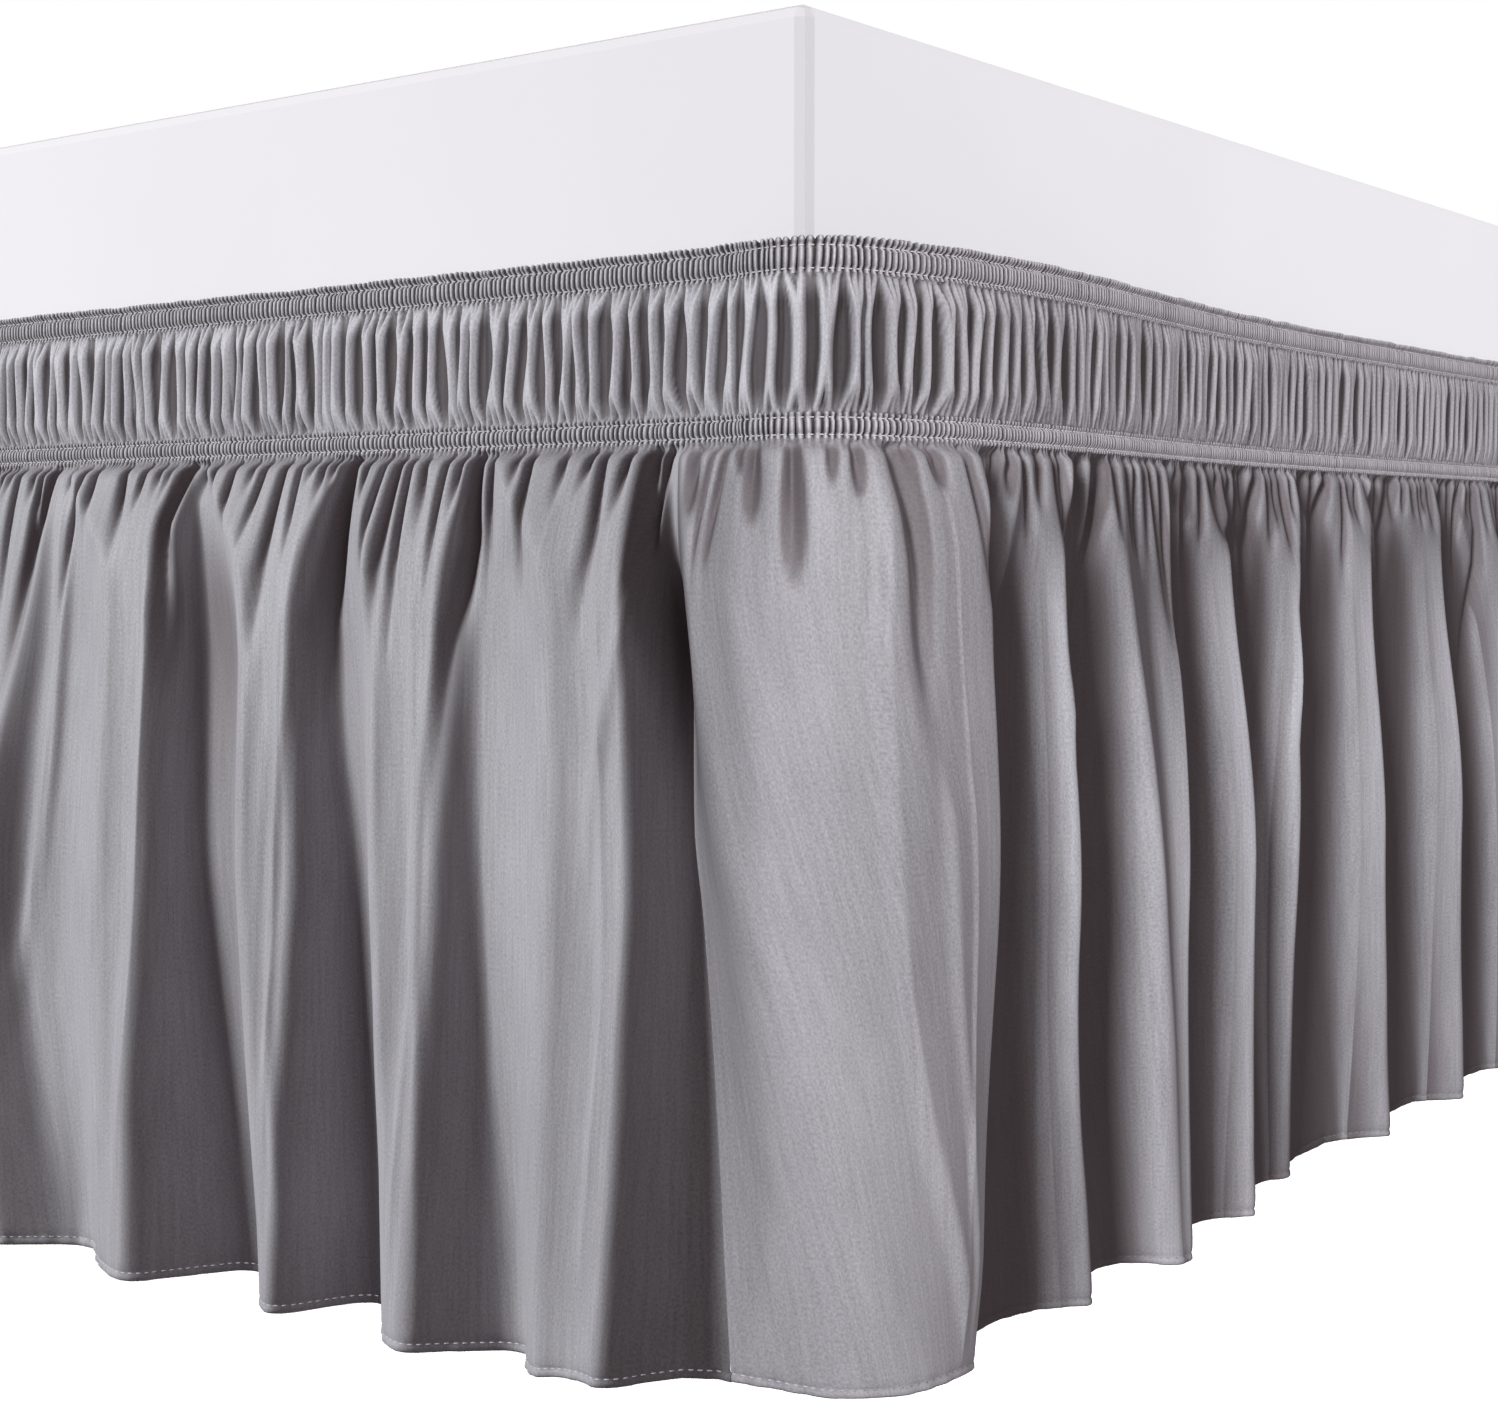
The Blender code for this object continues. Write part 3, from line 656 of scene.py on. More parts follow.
def ruffle_grid(t, heights):
    """Points of the ruffle, a row for each height, s on them, and how much painted shade each place gets: colour
    darkened along the creases, in the folds' valleys and in the rib grooves, standing in for the shade there.
    """
    s = np.zeros((len(heights), len(t)))
    n, face = np.zeros_like(s), np.zeros_like(s)
    for j, z in enumerate(heights):
        s[j], n[j], face[j] = section(z, t)
    z = np.broadcast_to(np.array(heights)[:, None], s.shape).copy()
    # swelling under the band, and the creases cut into it
    swell = PUFF * smooth(RUFFLE_TOP + 0.001, RUFFLE_TOP - 0.007, z) * (1 - smooth(0.330, 0.26, z)) * (1 - 0.50 * beside(s))
    creases = crease_depth(s, z, CREASE_LIST)
    n = n + swell - creases + line_height(s, z) + edge_height(s, z)
    # the surface is never quite even
    n += 0.0011 * noise_2d(from_zero(s) / 0.045 + 90, z / 0.11 + 3, 5) * smooth(0.345, 0.30, z)
    n += 0.0005 * noise_2d(from_zero(s) / 0.021 + 90, z / 0.13 + 9, 6) * smooth(0.345, 0.31, z)
    n += 0.00014 * noise_2d(from_zero(s) / 0.010 + 90, z / 0.11 + 9, 7) * smooth(0.345, 0.31, z)
    low = FLOOR_N + 0.0006
    soft = 0.0009
    n = low + soft * np.logaddexp(0, (n - low) / soft)
    # painted shade along the creases under the band: their colour darkened, standing in for the shade in them
    hollowness_and_painted_shade = 0.80 * smooth(0.0009, 0.0034, creases * (1 + 1.1 * np.exp(-((from_zero(s) / 0.055) ** 4)) + 0.7 * beside(s))) * smooth(0.20, 0.33, z)
    on_side = beside(s)
    # painted shade in each fold's valley, by how far the cloth lies below the fold's face; less of it on the foot side
    # near the band and near the hem
    less_painted_shade = (1 - on_side) * (0.6 * smooth(0.285, 0.335, z) + 0.80 * smooth(0.17, 0.05, z))
    sunk = (face - n) / np.maximum(face, 0.006) + 0.13 * on_side
    hollowness_and_painted_shade = np.maximum(hollowness_and_painted_shade, (1 - 0.20 * on_side) * (1 - less_painted_shade) * smooth(0.30, 0.90 - 0.10 * on_side, sunk))
    # the ribs of the band run on into it
    top = smooth(RUFFLE_TOP - 0.0048, RUFFLE_TOP - 0.0002, z)
    rib = rib_shape(rib_phase(s))
    n = n * (1 - top) + (BAND_N + RIB_DEPTH * 0.85 * rib) * top
    # painted shade in the rib grooves where the band's ribs run on into the cloth
    hollowness_and_painted_shade = np.maximum(hollowness_and_painted_shade * (1 - top), 0.8 * top * groove_share(rib_phase(s)))
    behind = z > RUFFLE_TOP + 0.0005
    n = np.where(behind, 0.0003, n)
    share = (z - HEM_Z) / (RUFFLE_TOP - HEM_Z)
    lift = hem_raise(s) * (1 - np.clip(share, 0, 1)) ** 2
    points = place(s, n + np.clip(share, 0, 1) * bulge(s), z + lift)
    return points, s, hollowness_and_painted_shade


def normals_of(points):
    across = np.gradient(points, axis=1)
    up = np.gradient(points, axis=0)
    normal = np.cross(across, up)
    return normal / np.maximum(np.linalg.norm(normal, axis=-1, keepdims=True), 1e-12)


# ---- meshes ---------------------------------------------------------------------------
def grid_object(name, points, flat, hollowness_and_painted_shade):
    """A sheet from rows of points, bottom to top, with its flat layout in metres as UVs and the painted shade of each
    place as an attribute that the cloth material reads to darken its colour.
    """
    rows, columns = points.shape[:2]
    index = np.arange(rows * columns).reshape(rows, columns)
    faces = np.stack([index[:-1, :-1], index[:-1, 1:], index[1:, 1:], index[1:, :-1]], axis=-1)
    faces = faces.reshape(-1, 4)
    mesh = bpy.data.meshes.new(name)
    mesh.vertices.add(rows * columns)
    mesh.vertices.foreach_set("co", points.astype(np.float32).ravel())
    mesh.loops.add(len(faces) * 4)
    mesh.loops.foreach_set("vertex_index", faces.astype(np.int32).ravel())
    mesh.polygons.add(len(faces))
    mesh.polygons.foreach_set("loop_start", np.arange(0, len(faces) * 4, 4, dtype=np.int32))
    mesh.update(calc_edges=True)
    corner = np.stack([flat[:-1, :-1], flat[:-1, 1:], flat[1:, 1:], flat[1:, :-1]], axis=2)
    layer = mesh.uv_layers.new(name="cloth")
    layer.data.foreach_set("uv", corner.astype(np.float32).ravel())
    # the painted shade is stored on the mesh for the cloth material to darken its colour by
    deep = mesh.attributes.new("hollowness_and_painted_shade", "FLOAT", "POINT")
    deep.data.foreach_set("value", np.clip(hollowness_and_painted_shade, 0, 1).astype(np.float32).ravel())
    mesh.shade_smooth()
    made = bpy.data.objects.new(name, mesh)
    made.shadow_terminator_geometry_offset = 0.8
    made.shadow_terminator_normal_offset = 0.002
    made.shadow_terminator_shading_offset = 0.12
    bpy.context.scene.collection.objects.link(made)
    return made


def flat_layout(points, row, other=None):
    """UVs in metres: along the cloth on the given row or two, and up the cloth."""
    rows = points[[row] if other is None else [row, other]]
    along = np.linalg.norm(np.diff(rows, axis=1), axis=2).mean(axis=0)
    u = np.concatenate([[0], np.cumsum(along)])
    up = np.linalg.norm(np.diff(points, axis=0), axis=2).mean(axis=1)
    v = np.concatenate([[0], np.cumsum(up)])
    return np.stack(np.broadcast_arrays(u[None, :], v[:, None]), axis=-1)


# ---- ruffle ----------------------------------------------------------------------------
CREASE_LIST = crease_list()
LINES = soft_lines()

ROW_STEPS = (
    0.0014, -0.0004, -0.0012, -0.0020, -0.0030, -0.0042, -0.0056, -0.0072, -0.0090, -0.0110,
    -0.0132, -0.0156, -0.0182, -0.0210, -0.0240, -0.0275, -0.0315, -0.0360, -0.0410, -0.0465,
    -0.0525, -0.0590, -0.0660, -0.0735, -0.0815, -0.0900, -0.0990, -0.1085, -0.1185, -0.1289,
    -0.1393, -0.1497, -0.1601, -0.1705, -0.1809, -0.1913, -0.2017, -0.2121, -0.2225, -0.2329,
    -0.2433, -0.2537, -0.2641, -0.2745, -0.2849, -0.2953, -0.3057, -0.3161, -0.3260, -0.3310,
)  # fmt: skip  heights below the band


def hem_profile():
    """Rows of the turned hem, from its upper edge outside, down, round and up inside: (height above the hem edge, out of the cloth)."""
    return (
        (HEM_FOLD + 0.0016, 0.0),
        (HEM_FOLD + 0.0006, -0.00025),
        (HEM_FOLD - 0.0002, -0.00040),
        (HEM_FOLD - 0.0012, 0.00010),
        (0.0008, 0.00020),
        (0.0000, -0.00035),
        (0.0002, -0.00095),
        (0.0012, -0.00120),
        (HEM_FOLD, -0.00100),
    )


def ruffle_columns(start, end):
    """Parameters from one valley to another, evenly spaced along the cloth, closer at the crisp edges."""
    t = np.linspace(start, end, int((end - start) * 40) + 1)
    density = bend = None
    for z in (HEM_Z, 0.165, 0.230, 0.300, RUFFLE_TOP):
        s, n, _ = section(z, t)
        share = (z - HEM_Z) / (RUFFLE_TOP - HEM_Z)
        step = np.linalg.norm(np.diff(place(s, n + share * bulge(s), np.full_like(s, z)), axis=0), axis=1)
        step = step * (1.0 if z < 0.31 else 1.3)
        turned = np.abs(np.gradient(np.arctan2(np.diff(n), np.diff(s))))
        density = step if density is None else np.maximum(density, step)
        bend = turned if bend is None else np.maximum(bend, turned)
    middle = (s[1:] + s[:-1]) / 2
    spacing = PLAIN_STEP + (FINE_STEP - PLAIN_STEP) * fine_share(middle)
    count = np.concatenate([[0], np.cumsum(density / spacing + 2.2 * np.minimum(bend, 0.5) * fine_share(middle))])
    total = int(round(count[-1]))
    return np.interp(np.linspace(0, count[-1], total + 1), count, t)


def ruffle_panel(name, start, end, seed):
    t = ruffle_columns(start, end)
    steps = ROW_STEPS if name.startswith("ruffle_cloth_1") else (*ROW_STEPS[:-2:2], ROW_STEPS[-1])
    heights = [RUFFLE_TOP + step for step in reversed(steps)]
    profile = hem_profile()
    heights = [*(HEM_Z + up for up, _ in reversed(profile[:6])), *heights]
    points, s, hollowness_and_painted_shade = ruffle_grid(t, heights)
    normal = normals_of(points)
    # small puckers along the hem stitching
    along = np.cumsum(np.concatenate([[0], np.linalg.norm(np.diff(points[3], axis=0), axis=1)]))
    pucker = 0.00045 * lattice_noise(along / 0.0046, 40 + seed) + 0.0003 * lattice_noise(along / 0.013, 50 + seed)
    for row, (_, out) in enumerate(reversed(profile[:6])):
        fade = 1.0 if row < 4 else 0.5
        points[row] += normal[row] * (out + fade * pucker)[:, None]
    edge, outward = points[0], normal[1]
    inside = []
    for up, out in profile[6:]:
        row = edge + outward * (out - profile[5][1])
        row[:, 2] += up
        inside.append(row)
    points = np.concatenate([np.stack(inside[::-1]), points])
    hollowness_and_painted_shade = np.concatenate([hollowness_and_painted_shade[: len(inside)], hollowness_and_painted_shade])
    uv = flat_layout(points, len(inside) + 4, 2 * len(points) // 3)
    return grid_object(name, points, uv, hollowness_and_painted_shade), points


VALLEY = 3.5 + PER_FOLD * np.arange(len(KNOTS) // PER_FOLD)
AT_HEM = section(HEM_Z, VALLEY)[0]


def valley_near(s):
    return int(np.argmin(np.abs(np.mod(AT_HEM - s + LOOP / 2, LOOP) - LOOP / 2)))


# cloth pieces: name, node, first and last valley, side of the corner they are on
STARTS = [valley_near(start) for start in PANELS]
RUFFLE_PIECES = (
    ("ruffle_cloth_1_foot", 1, STARTS[0], 4, "foot"),
    ("ruffle_cloth_1_corner", 1, 4, 5, "corner"),
    ("ruffle_cloth_1_side", 1, 5, STARTS[1], "side"),
    ("ruffle_cloth_2", 2, STARTS[1], STARTS[2], "side"),
    ("ruffle_cloth_3", 3, STARTS[2], STARTS[3], "foot"),
    ("ruffle_cloth_4", 4, STARTS[3], STARTS[0], "foot"),
)
pieces = []  # object, nodes it stands for, points, side, finish, tall
ruffle_points = []
for seed, (name, number, first, last, side) in enumerate(RUFFLE_PIECES):
    last += len(VALLEY) if last <= first else 0
    made, points = ruffle_panel(name, VALLEY[0] + PER_FOLD * first, VALLEY[0] + PER_FOLD * last, seed)
    pieces.append((made, f"ruffle_panel_{number}", points, side, "ruffle", 0.350))
    ruffle_points.append(points)


# ---- shirred bands ------------------------------------------------------------------------
RIB_COLUMNS = {
    6: (0.0, 0.08, 0.24, 0.50, 0.76, 0.92),
    3: (0.0, 0.30, 0.70),
}


def rib_columns(fine_count, plain_count):
    found = []
    for a, b in zip(RIBS[:-1], RIBS[1:], strict=True):
        count = fine_count if FINE[0] < a < FINE[1] else plain_count
        found.append(a + (b - a) * np.array(RIB_COLUMNS[count]))
    return np.concatenate(found)


def band(name, rows, fine_count, plain_count, seed):
    """A shirred band, with painted shade darkening the grooves between its ribs. rows are (z, out, rib share) from the
    bottom up.
    """
    s = rib_columns(fine_count, plain_count)
    phase = rib_phase(s)
    rib = rib_shape(phase)
    whole = np.floor(phase)
    grid, painted_shade_rows = [], []
    for z, out, share in rows:
        wave = 0.00035 * lattice_noise(from_zero(s) / 0.011 + 400, seed)
        lean = lattice_noise(whole + 0.5, seed + 1) * 0.0003
        height = z + wave * (share > 0.9)
        if z > FRILL_STITCH + 0.002:
            height = height - 0.0012 * (1 - np.clip(rib, 0, 1))
        grid.append(place(s + lean * (z - rows[0][0]) / (rows[-1][0] - rows[0][0]) * 2, bulge(s) + out + RIB_DEPTH * share * rib, height))
        # painted shade in the grooves between the ribs
        painted_shade_rows.append(groove_share(phase))
    return np.stack(grid), np.stack(painted_shade_rows)


LOWER_ROWS = (
    (RUFFLE_TOP - 0.0008, 0.0010, 0.88),
    (RUFFLE_TOP + 0.0002, 0.0013, 0.80),
    (RUFFLE_TOP + 0.0009, 0.0006, 0.66),
    (RUFFLE_TOP + 0.0020, 0.0013, 1.0),
    ((RUFFLE_TOP + LOWER_BAND_TOP) / 2, 0.0015, 1.0),
    (LOWER_BAND_TOP - 0.0020, 0.0013, 1.0),
    (LOWER_BAND_TOP - 0.0009, 0.0006, 0.66),
    (LOWER_BAND_TOP - 0.0002, 0.0013, 0.80),
    (LOWER_BAND_TOP + 0.0008, 0.0010, 0.88),
)
UPPER_ROWS = (
    (HEADING_TOP - 0.0008, 0.0010, 0.88),
    (HEADING_TOP + 0.0008, 0.0006, 0.66),
    (HEADING_TOP + 0.0020, 0.0013, 1.0),
    ((HEADING_TOP + FRILL_STITCH) / 2, 0.0015, 1.0),
    (FRILL_STITCH - 0.0013, 0.0013, 1.0),
    (FRILL_STITCH, 0.0005, 0.62),
    (FRILL_STITCH + 0.0011, 0.0013, 1.05),
    (FRILL_TOP - 0.0008, 0.0016, 1.15),
    (FRILL_TOP, 0.0009, 1.0),
    (FRILL_TOP - 0.0009, -0.0002, 0.7),
    (FRILL_STITCH, -0.0006, 0.4),
)


def halves(name, node, points, hollowness_and_painted_shade, at, finish, tall):
    """A closed strip made as two pieces: foot side, and long side from the column at."""
    uv = flat_layout(points, len(points) // 2)
    ends = (("foot", np.arange(0, at + 1)), ("side", np.append(np.arange(at, points.shape[1]), 0)))
    for side, columns in ends:
        flat = uv[:, columns].copy()
        if side == "side":
            flat[:, -1, 0] = flat[:, -2, 0] + 0.0005
        made = grid_object(f"{name}_{side}", points[:, columns], flat, hollowness_and_painted_shade[:, columns])
        pieces.append((made, node, points[:, columns], side, finish, tall))


def column_near(points, s):
    """The column whose lowest point is nearest to a place on the path."""
    target = place(np.array([s]), bulge(np.array([s])), points[0, 0, 2])[0]
    return int(np.argmin(np.linalg.norm(points[0] - target, axis=1)))


SPLIT_S = -0.030
groove = RIBS[np.argmin(np.abs(RIBS - SPLIT_S))]
for name, node, rows, counts, seed, tall in (
    ("lower_band_cloth", "lower_band", LOWER_ROWS, (6, 3), 61, 0.012),
    ("upper_band_cloth", "upper_band", UPPER_ROWS, (6, 3), 71, 0.018),
):
    points, hollowness_and_painted_shade = band(name, rows, *counts, seed)
    halves(name, node, points, hollowness_and_painted_shade, column_near(points, groove), "band", tall)


# ---- heading ---------------------------------------------------------------------------------
def heading_folds():
    """Where each heading fold's ridge is, how wide its share of the strip is, and its own unevenness."""
    rng = np.random.RandomState(17)
    edges = [0.0]
    while edges[-1] < AROUND:
        s = float(s_after(edges[-1]))
        pitch = 0.0092 - 0.0012 * float(smooth(-0.05, -0.40, np.array(from_zero(s)))) * (FINE[0] < s < 0)
        pitch *= rng.choice((rng.uniform(0.66, 0.86), rng.uniform(0.86, 1.14), rng.uniform(1.14, 1.42)), p=(0.3, 0.45, 0.25))
        edges.append(edges[-1] + pitch)
    return s_after(np.array(edges) * AROUND / edges[-1])


EDGES_H = heading_folds()
HEADING_ROWS = np.array([-0.020, 0.010, 0.030, 0.055, 0.085, 0.120, 0.160, 0.205, 0.260, 0.330, 0.410, 0.500,
                         0.590, 0.670, 0.740, 0.795, 0.840, 0.880, 0.915, 0.945, 0.970, 0.990, 1.020])  # fmt: skip


def heading_columns(fine_count, plain_count):
    found = []
    for a, b in zip(EDGES_H[:-1], EDGES_H[1:], strict=True):
        count = fine_count if FINE[0] < a < FINE[1] else plain_count
        found.append(np.arange(count) / count)
    index = np.concatenate([np.full(len(f), k) for k, f in enumerate(found)])
    return index, np.concatenate(found)


def heading_surface():
    """Each fold is one narrow ridge that parts into two or three legs before either stitch line. Painted shade darkens
    the valleys between the ridges and the rib grooves by the stitch lines.
    """
    index, f = heading_columns(16, 5)
    count = len(EDGES_H) - 1
    rng = np.random.RandomState(23)
    centre = (EDGES_H[:-1] + EDGES_H[1:]) / 2 + 0.0006 * rng.uniform(-1, 1, count)
    pitch = np.diff(EDGES_H)
    lean = 0.0030 * rng.uniform(-1, 1, count) + 0.0010
    bow = 0.0015 * rng.uniform(-1, 1, count)
    sway = 0.0009 * rng.uniform(-1, 1, count)
    high = HEADING_PUFF * rng.uniform(0.62, 0.98, count) * (1 - 0.28 * beside(centre))
    wide = rng.uniform(0.0019, 0.0031, count) * (0.6 + 0.4 * pitch * stretch(centre) / 0.009) * (1 - 0.12 * beside(centre))
    joins = rng.uniform(0.22, 0.50, (2, count))
    legs = rng.choice((2, 3), (2, count), p=(0.55, 0.45))
    short = rng.uniform(0.08, 0.26, (2, count))
    floor = rng.uniform(0.0004, 0.0016, count)
    s_base = EDGES_H[index] + pitch[index] * f
    scale = stretch(s_base)
    near = 1 / stretch(centre)
    grid, painted_shade_rows = [], []
    for share in HEADING_ROWS:
        z = LOWER_BAND_TOP + share * (HEADING_TOP - LOWER_BAND_TOP)
        u = float(np.clip(share, 0, 1))
        line = centre + near * (lean * (u - 0.5) + bow * math.sin(math.pi * u) + sway * math.sin(2 * math.pi * u))
        spread = np.where(u < 0.5, np.clip(1 - u / joins[0], 0, 1), np.clip(1 - (1 - u) / joins[1], 0, 1)) ** 1.25
        number = legs[0] if u < 0.5 else legs[1]
        half = np.minimum(u, 1 - u)
        rise = smooth(0.0, 0.22, np.array(half))
        height = 0.0024 + (high - 0.0024) * rise
        width = 0.00085 + (wide - 0.00085) * (1 - spread) ** 0.9
        n = np.zeros_like(s_base)
        for k in (-1, 0, 1):
            own = np.mod(index + k, count)
            wrap = LOOP * np.floor_divide(index + k, count)
            for leg in (-1, 0, 1):
                offset = np.where(number[own] == 2, 0.26 * leg, 0.34 * leg) * pitch[own] * spread[own]
                present = np.where((number[own] == 2) & (leg == 0), spread[own] < 0.02, True)
                d = np.abs(s_base - line[own] - wrap - offset) * scale / width[own]
                n = np.maximum(n, np.where(present, height[own] * np.exp(-(d**1.9)), 0))
            # a short leg between this fold and the next
            length = short[0] if u < 0.5 else short[1]
            own_height = 0.0016 * smooth(length[own], 0, half)
            d = np.abs(s_base - EDGES_H[np.mod(own + 1, count)] - wrap - LOOP * (own + 1 == count)) * scale / 0.0010
            n = np.maximum(n, own_height * np.exp(-(d**2)))
        base = floor[index] * smooth(0.0, 0.15, np.array(half))
        n = n + base * np.exp(-n / 0.0015)
        tight = smooth(0.045, 0.0, np.array(half))
        rib = rib_shape(rib_phase(s_base))
        # painted shade in the valleys between the ridges, weaker near the stitch lines
        hollowness_and_painted_shade = smooth(0.20, 0.56, 1 - n / (height[index] * 0.92)) * (1 - 0.35 * (1 - rise))
        n = (0.0004 + n) * (1 - tight) + (BAND_N + RIB_DEPTH * 0.85 * rib) * tight
        # painted shade in the rib grooves close to the stitch lines
        hollowness_and_painted_shade = hollowness_and_painted_shade * (1 - tight) + tight * groove_share(rib_phase(s_base))
        if share < 0 or share > 1:
            n = np.full_like(n, 0.0003)
        grid.append(place(s_base, bulge(s_base) + n, z))
        painted_shade_rows.append(hollowness_and_painted_shade)
    return np.stack(grid), np.stack(painted_shade_rows)


heading_points, heading_painted_shade = heading_surface()
groove = EDGES_H[np.argmin(np.abs(EDGES_H - SPLIT_S))]
halves("heading_cloth", "heading", heading_points, heading_painted_shade, column_near(heading_points, groove), "ruffle", 0.052)


# ---- stitching ---------------------------------------------------------------------------------
def stitch_mesh(name, lines):
    """Short raised dashes of thread along lines of points, each with the outward normals there."""
    verts, faces = [], []
    rng = np.random.RandomState(91)
    for points, normal, up, closed in lines:
        if closed:
            points = np.concatenate([points, points[:1]])
            normal = np.concatenate([normal, normal[:1]])
        along = np.concatenate([[0], np.cumsum(np.linalg.norm(np.diff(points, axis=0), axis=1))])
        total = along[-1]
        starts = np.arange(0, total - STITCH_PITCH, STITCH_PITCH)
        starts = starts + rng.uniform(-0.0002, 0.0002, len(starts))
        where = starts[:, None] + STITCH_LENGTH * np.array([0, 0.22, 0.78, 1])[None, :]
        where = np.clip(where, 0, total)
        at = np.stack([np.interp(where, along, points[:, k]) for k in range(3)], axis=-1)
        out = np.stack([np.interp(where, along, normal[:, k]) for k in range(3)], axis=-1)
        out /= np.linalg.norm(out, axis=-1, keepdims=True)
        side = np.array(up) * THREAD / 2
        ends = at[:, [0, 3]] - out[:, [0, 3]] * THREAD * 0.3
        ridge = at[:, 1:3] + out[:, 1:3] * THREAD * 0.8
        low, high = at[:, 1:3] - side, at[:, 1:3] + side
        base = len(verts)
        block = np.concatenate([ridge, low, high, ends], axis=1)
        count = len(block)
        index = base + 8 * np.arange(count)[:, None]
        verts.extend(block.reshape(-1, 3).tolist())
        pattern = [(2, 3, 1, 0), (0, 1, 5, 4), (6, 2, 0), (6, 0, 4), (3, 7, 1), (1, 7, 5)]
        for face in pattern:
            faces.extend((index + np.array(face)[None, :]).tolist())
    mesh = bpy.data.meshes.new(name)
    mesh.from_pydata(verts, [], faces)
    mesh.shade_smooth()
    mesh.update()
    made = bpy.data.objects.new(name, mesh)
    bpy.context.scene.collection.objects.link(made)
    return made


def outward(points):
    """Level outward directions along a row of points that goes round with s rising."""
    step = np.gradient(points, axis=0)
    out = np.stack([step[:, 1], -step[:, 0], np.zeros(len(points))], axis=-1)
    return out / np.maximum(np.linalg.norm(out, axis=-1, keepdims=True), 1e-12)


def band_line(z, out):
    """A line over the tops of the ribs."""
    s = np.linspace(-LOOP / 2, LOOP / 2, 9001)[:-1]
    return place(s, bulge(s) + out + RIB_DEPTH * 0.62, np.full_like(s, z))


band_lines = []
for z, out in (
    (RUFFLE_TOP + 0.0009, 0.0007), (LOWER_BAND_TOP - 0.0009, 0.0007),
    (HEADING_TOP + 0.0008, 0.0007), (FRILL_STITCH, 0.0007),
):  # fmt: skip
    line = band_line(z, out)
    band_lines.append((line, outward(line), (0, 0, 1), True))
band_stitches = stitch_mesh("band_stitching", band_lines)

hem_lines = []
for points in ruffle_points:
    row = points[3 + 3]
    hem_lines.append((row, normals_of(points)[6], (0, 0, 1), False))
hem_stitches = stitch_mesh("hem_stitching", hem_lines)


# ---- materials -----------------------------------------------------------------------------------
def node_material(name):
    made = bpy.data.materials.new(name)
    made.use_nodes = True
    tree = made.node_tree
    return made, tree, tree.nodes["Principled BSDF"]


def link(tree, a, b):
    tree.links.new(a, b)


def mixed(tree, factor, low, high):
    mix = tree.nodes.new("ShaderNodeMix")
    mix.data_type = "RGBA"
    mix.inputs[6].default_value = (*low, 1)
    mix.inputs[7].default_value = (*high, 1)
    link(tree, factor, mix.inputs[0])
    return mix.outputs[2]


def satin(name, low, high, hollowness_and_painted_shade, roughness, streak=1.0):
    """Satin-faced cloth: fine threads run up it, with slight unevenness of tone and gloss, and its colour darkened
    towards a painted shade colour where the mesh's attribute marks cloth sunk in folds, creases and grooves.
    """
    made, tree, shader = node_material(name)
    flat = tree.nodes.new("ShaderNodeUVMap")
    flat.uv_map = "cloth"

    def noise(scale_u, scale_v, detail, rough=0.5):
        mapping = tree.nodes.new("ShaderNodeMapping")
        mapping.inputs["Scale"].default_value = (scale_u, scale_v, 1)
        link(tree, flat.outputs[0], mapping.inputs[0])
        texture = tree.nodes.new("ShaderNodeTexNoise")
        texture.inputs["Scale"].default_value = 1.0
        texture.inputs["Detail"].default_value = detail
        texture.inputs["Roughness"].default_value = rough
        link(tree, mapping.outputs[0], texture.inputs["Vector"])
        return texture.outputs[0]

    threads = noise(620, 30, 3, 0.6)
    fleck = noise(1500, 800, 2, 0.65)
    patches = noise(14, 8, 3)

    def math_node(operation, a, b):
        node = tree.nodes.new("ShaderNodeMath")
        node.operation = operation
        for socket, value in zip(node.inputs, (a, b), strict=False):
            if isinstance(value, (int, float)):
                socket.default_value = value
            else:
                link(tree, value, socket)
        return node.outputs[0]

    grain = math_node("ADD", math_node("MULTIPLY", threads, 0.35), math_node("MULTIPLY", fleck, 0.65))
    tone = math_node("ADD", math_node("MULTIPLY", grain, 0.75), math_node("MULTIPLY", patches, 0.25))
    ramp = tree.nodes.new("ShaderNodeMapRange")
    ramp.inputs["From Min"].default_value = 0.30
    ramp.inputs["From Max"].default_value = 0.70
    link(tree, tone, ramp.inputs["Value"])
    # painted shade: the colour is mixed towards the dark painted shade colour by the mesh's painted shade attribute
    deep = tree.nodes.new("ShaderNodeAttribute")
    deep.attribute_name = "hollowness_and_painted_shade"
    painted_shade_mix = tree.nodes.new("ShaderNodeMix")
    painted_shade_mix.data_type = "RGBA"
    painted_shade_mix.inputs[7].default_value = (*hollowness_and_painted_shade, 1)
    link(tree, math_node("MULTIPLY", deep.outputs["Fac"], 0.93), painted_shade_mix.inputs[0])
    link(tree, mixed(tree, ramp.outputs[0], low, high), painted_shade_mix.inputs[6])
    link(tree, painted_shade_mix.outputs[2], shader.inputs["Base Color"])
    gloss = tree.nodes.new("ShaderNodeMapRange")
    gloss.inputs["From Min"].default_value = 0.25
    gloss.inputs["From Max"].default_value = 0.75
    gloss.inputs["To Min"].default_value = roughness + 0.07
    gloss.inputs["To Max"].default_value = roughness - 0.07
    link(tree, grain, gloss.inputs["Value"])
    link(tree, gloss.outputs[0], shader.inputs["Roughness"])
    bump = tree.nodes.new("ShaderNodeBump")
    bump.inputs["Strength"].default_value = 0.20 * streak
    bump.inputs["Distance"].default_value = 0.0004
    link(tree, grain, bump.inputs["Height"])
    link(tree, bump.outputs[0], shader.inputs["Normal"])
    shader.inputs["Specular IOR Level"].default_value = 0.24
    shader.inputs["Sheen Weight"].default_value = 0.08
    shader.inputs["Sheen Roughness"].default_value = 0.35
    shader.inputs["Sheen Tint"].default_value = (0.93, 0.92, 1.0, 1)
    return made


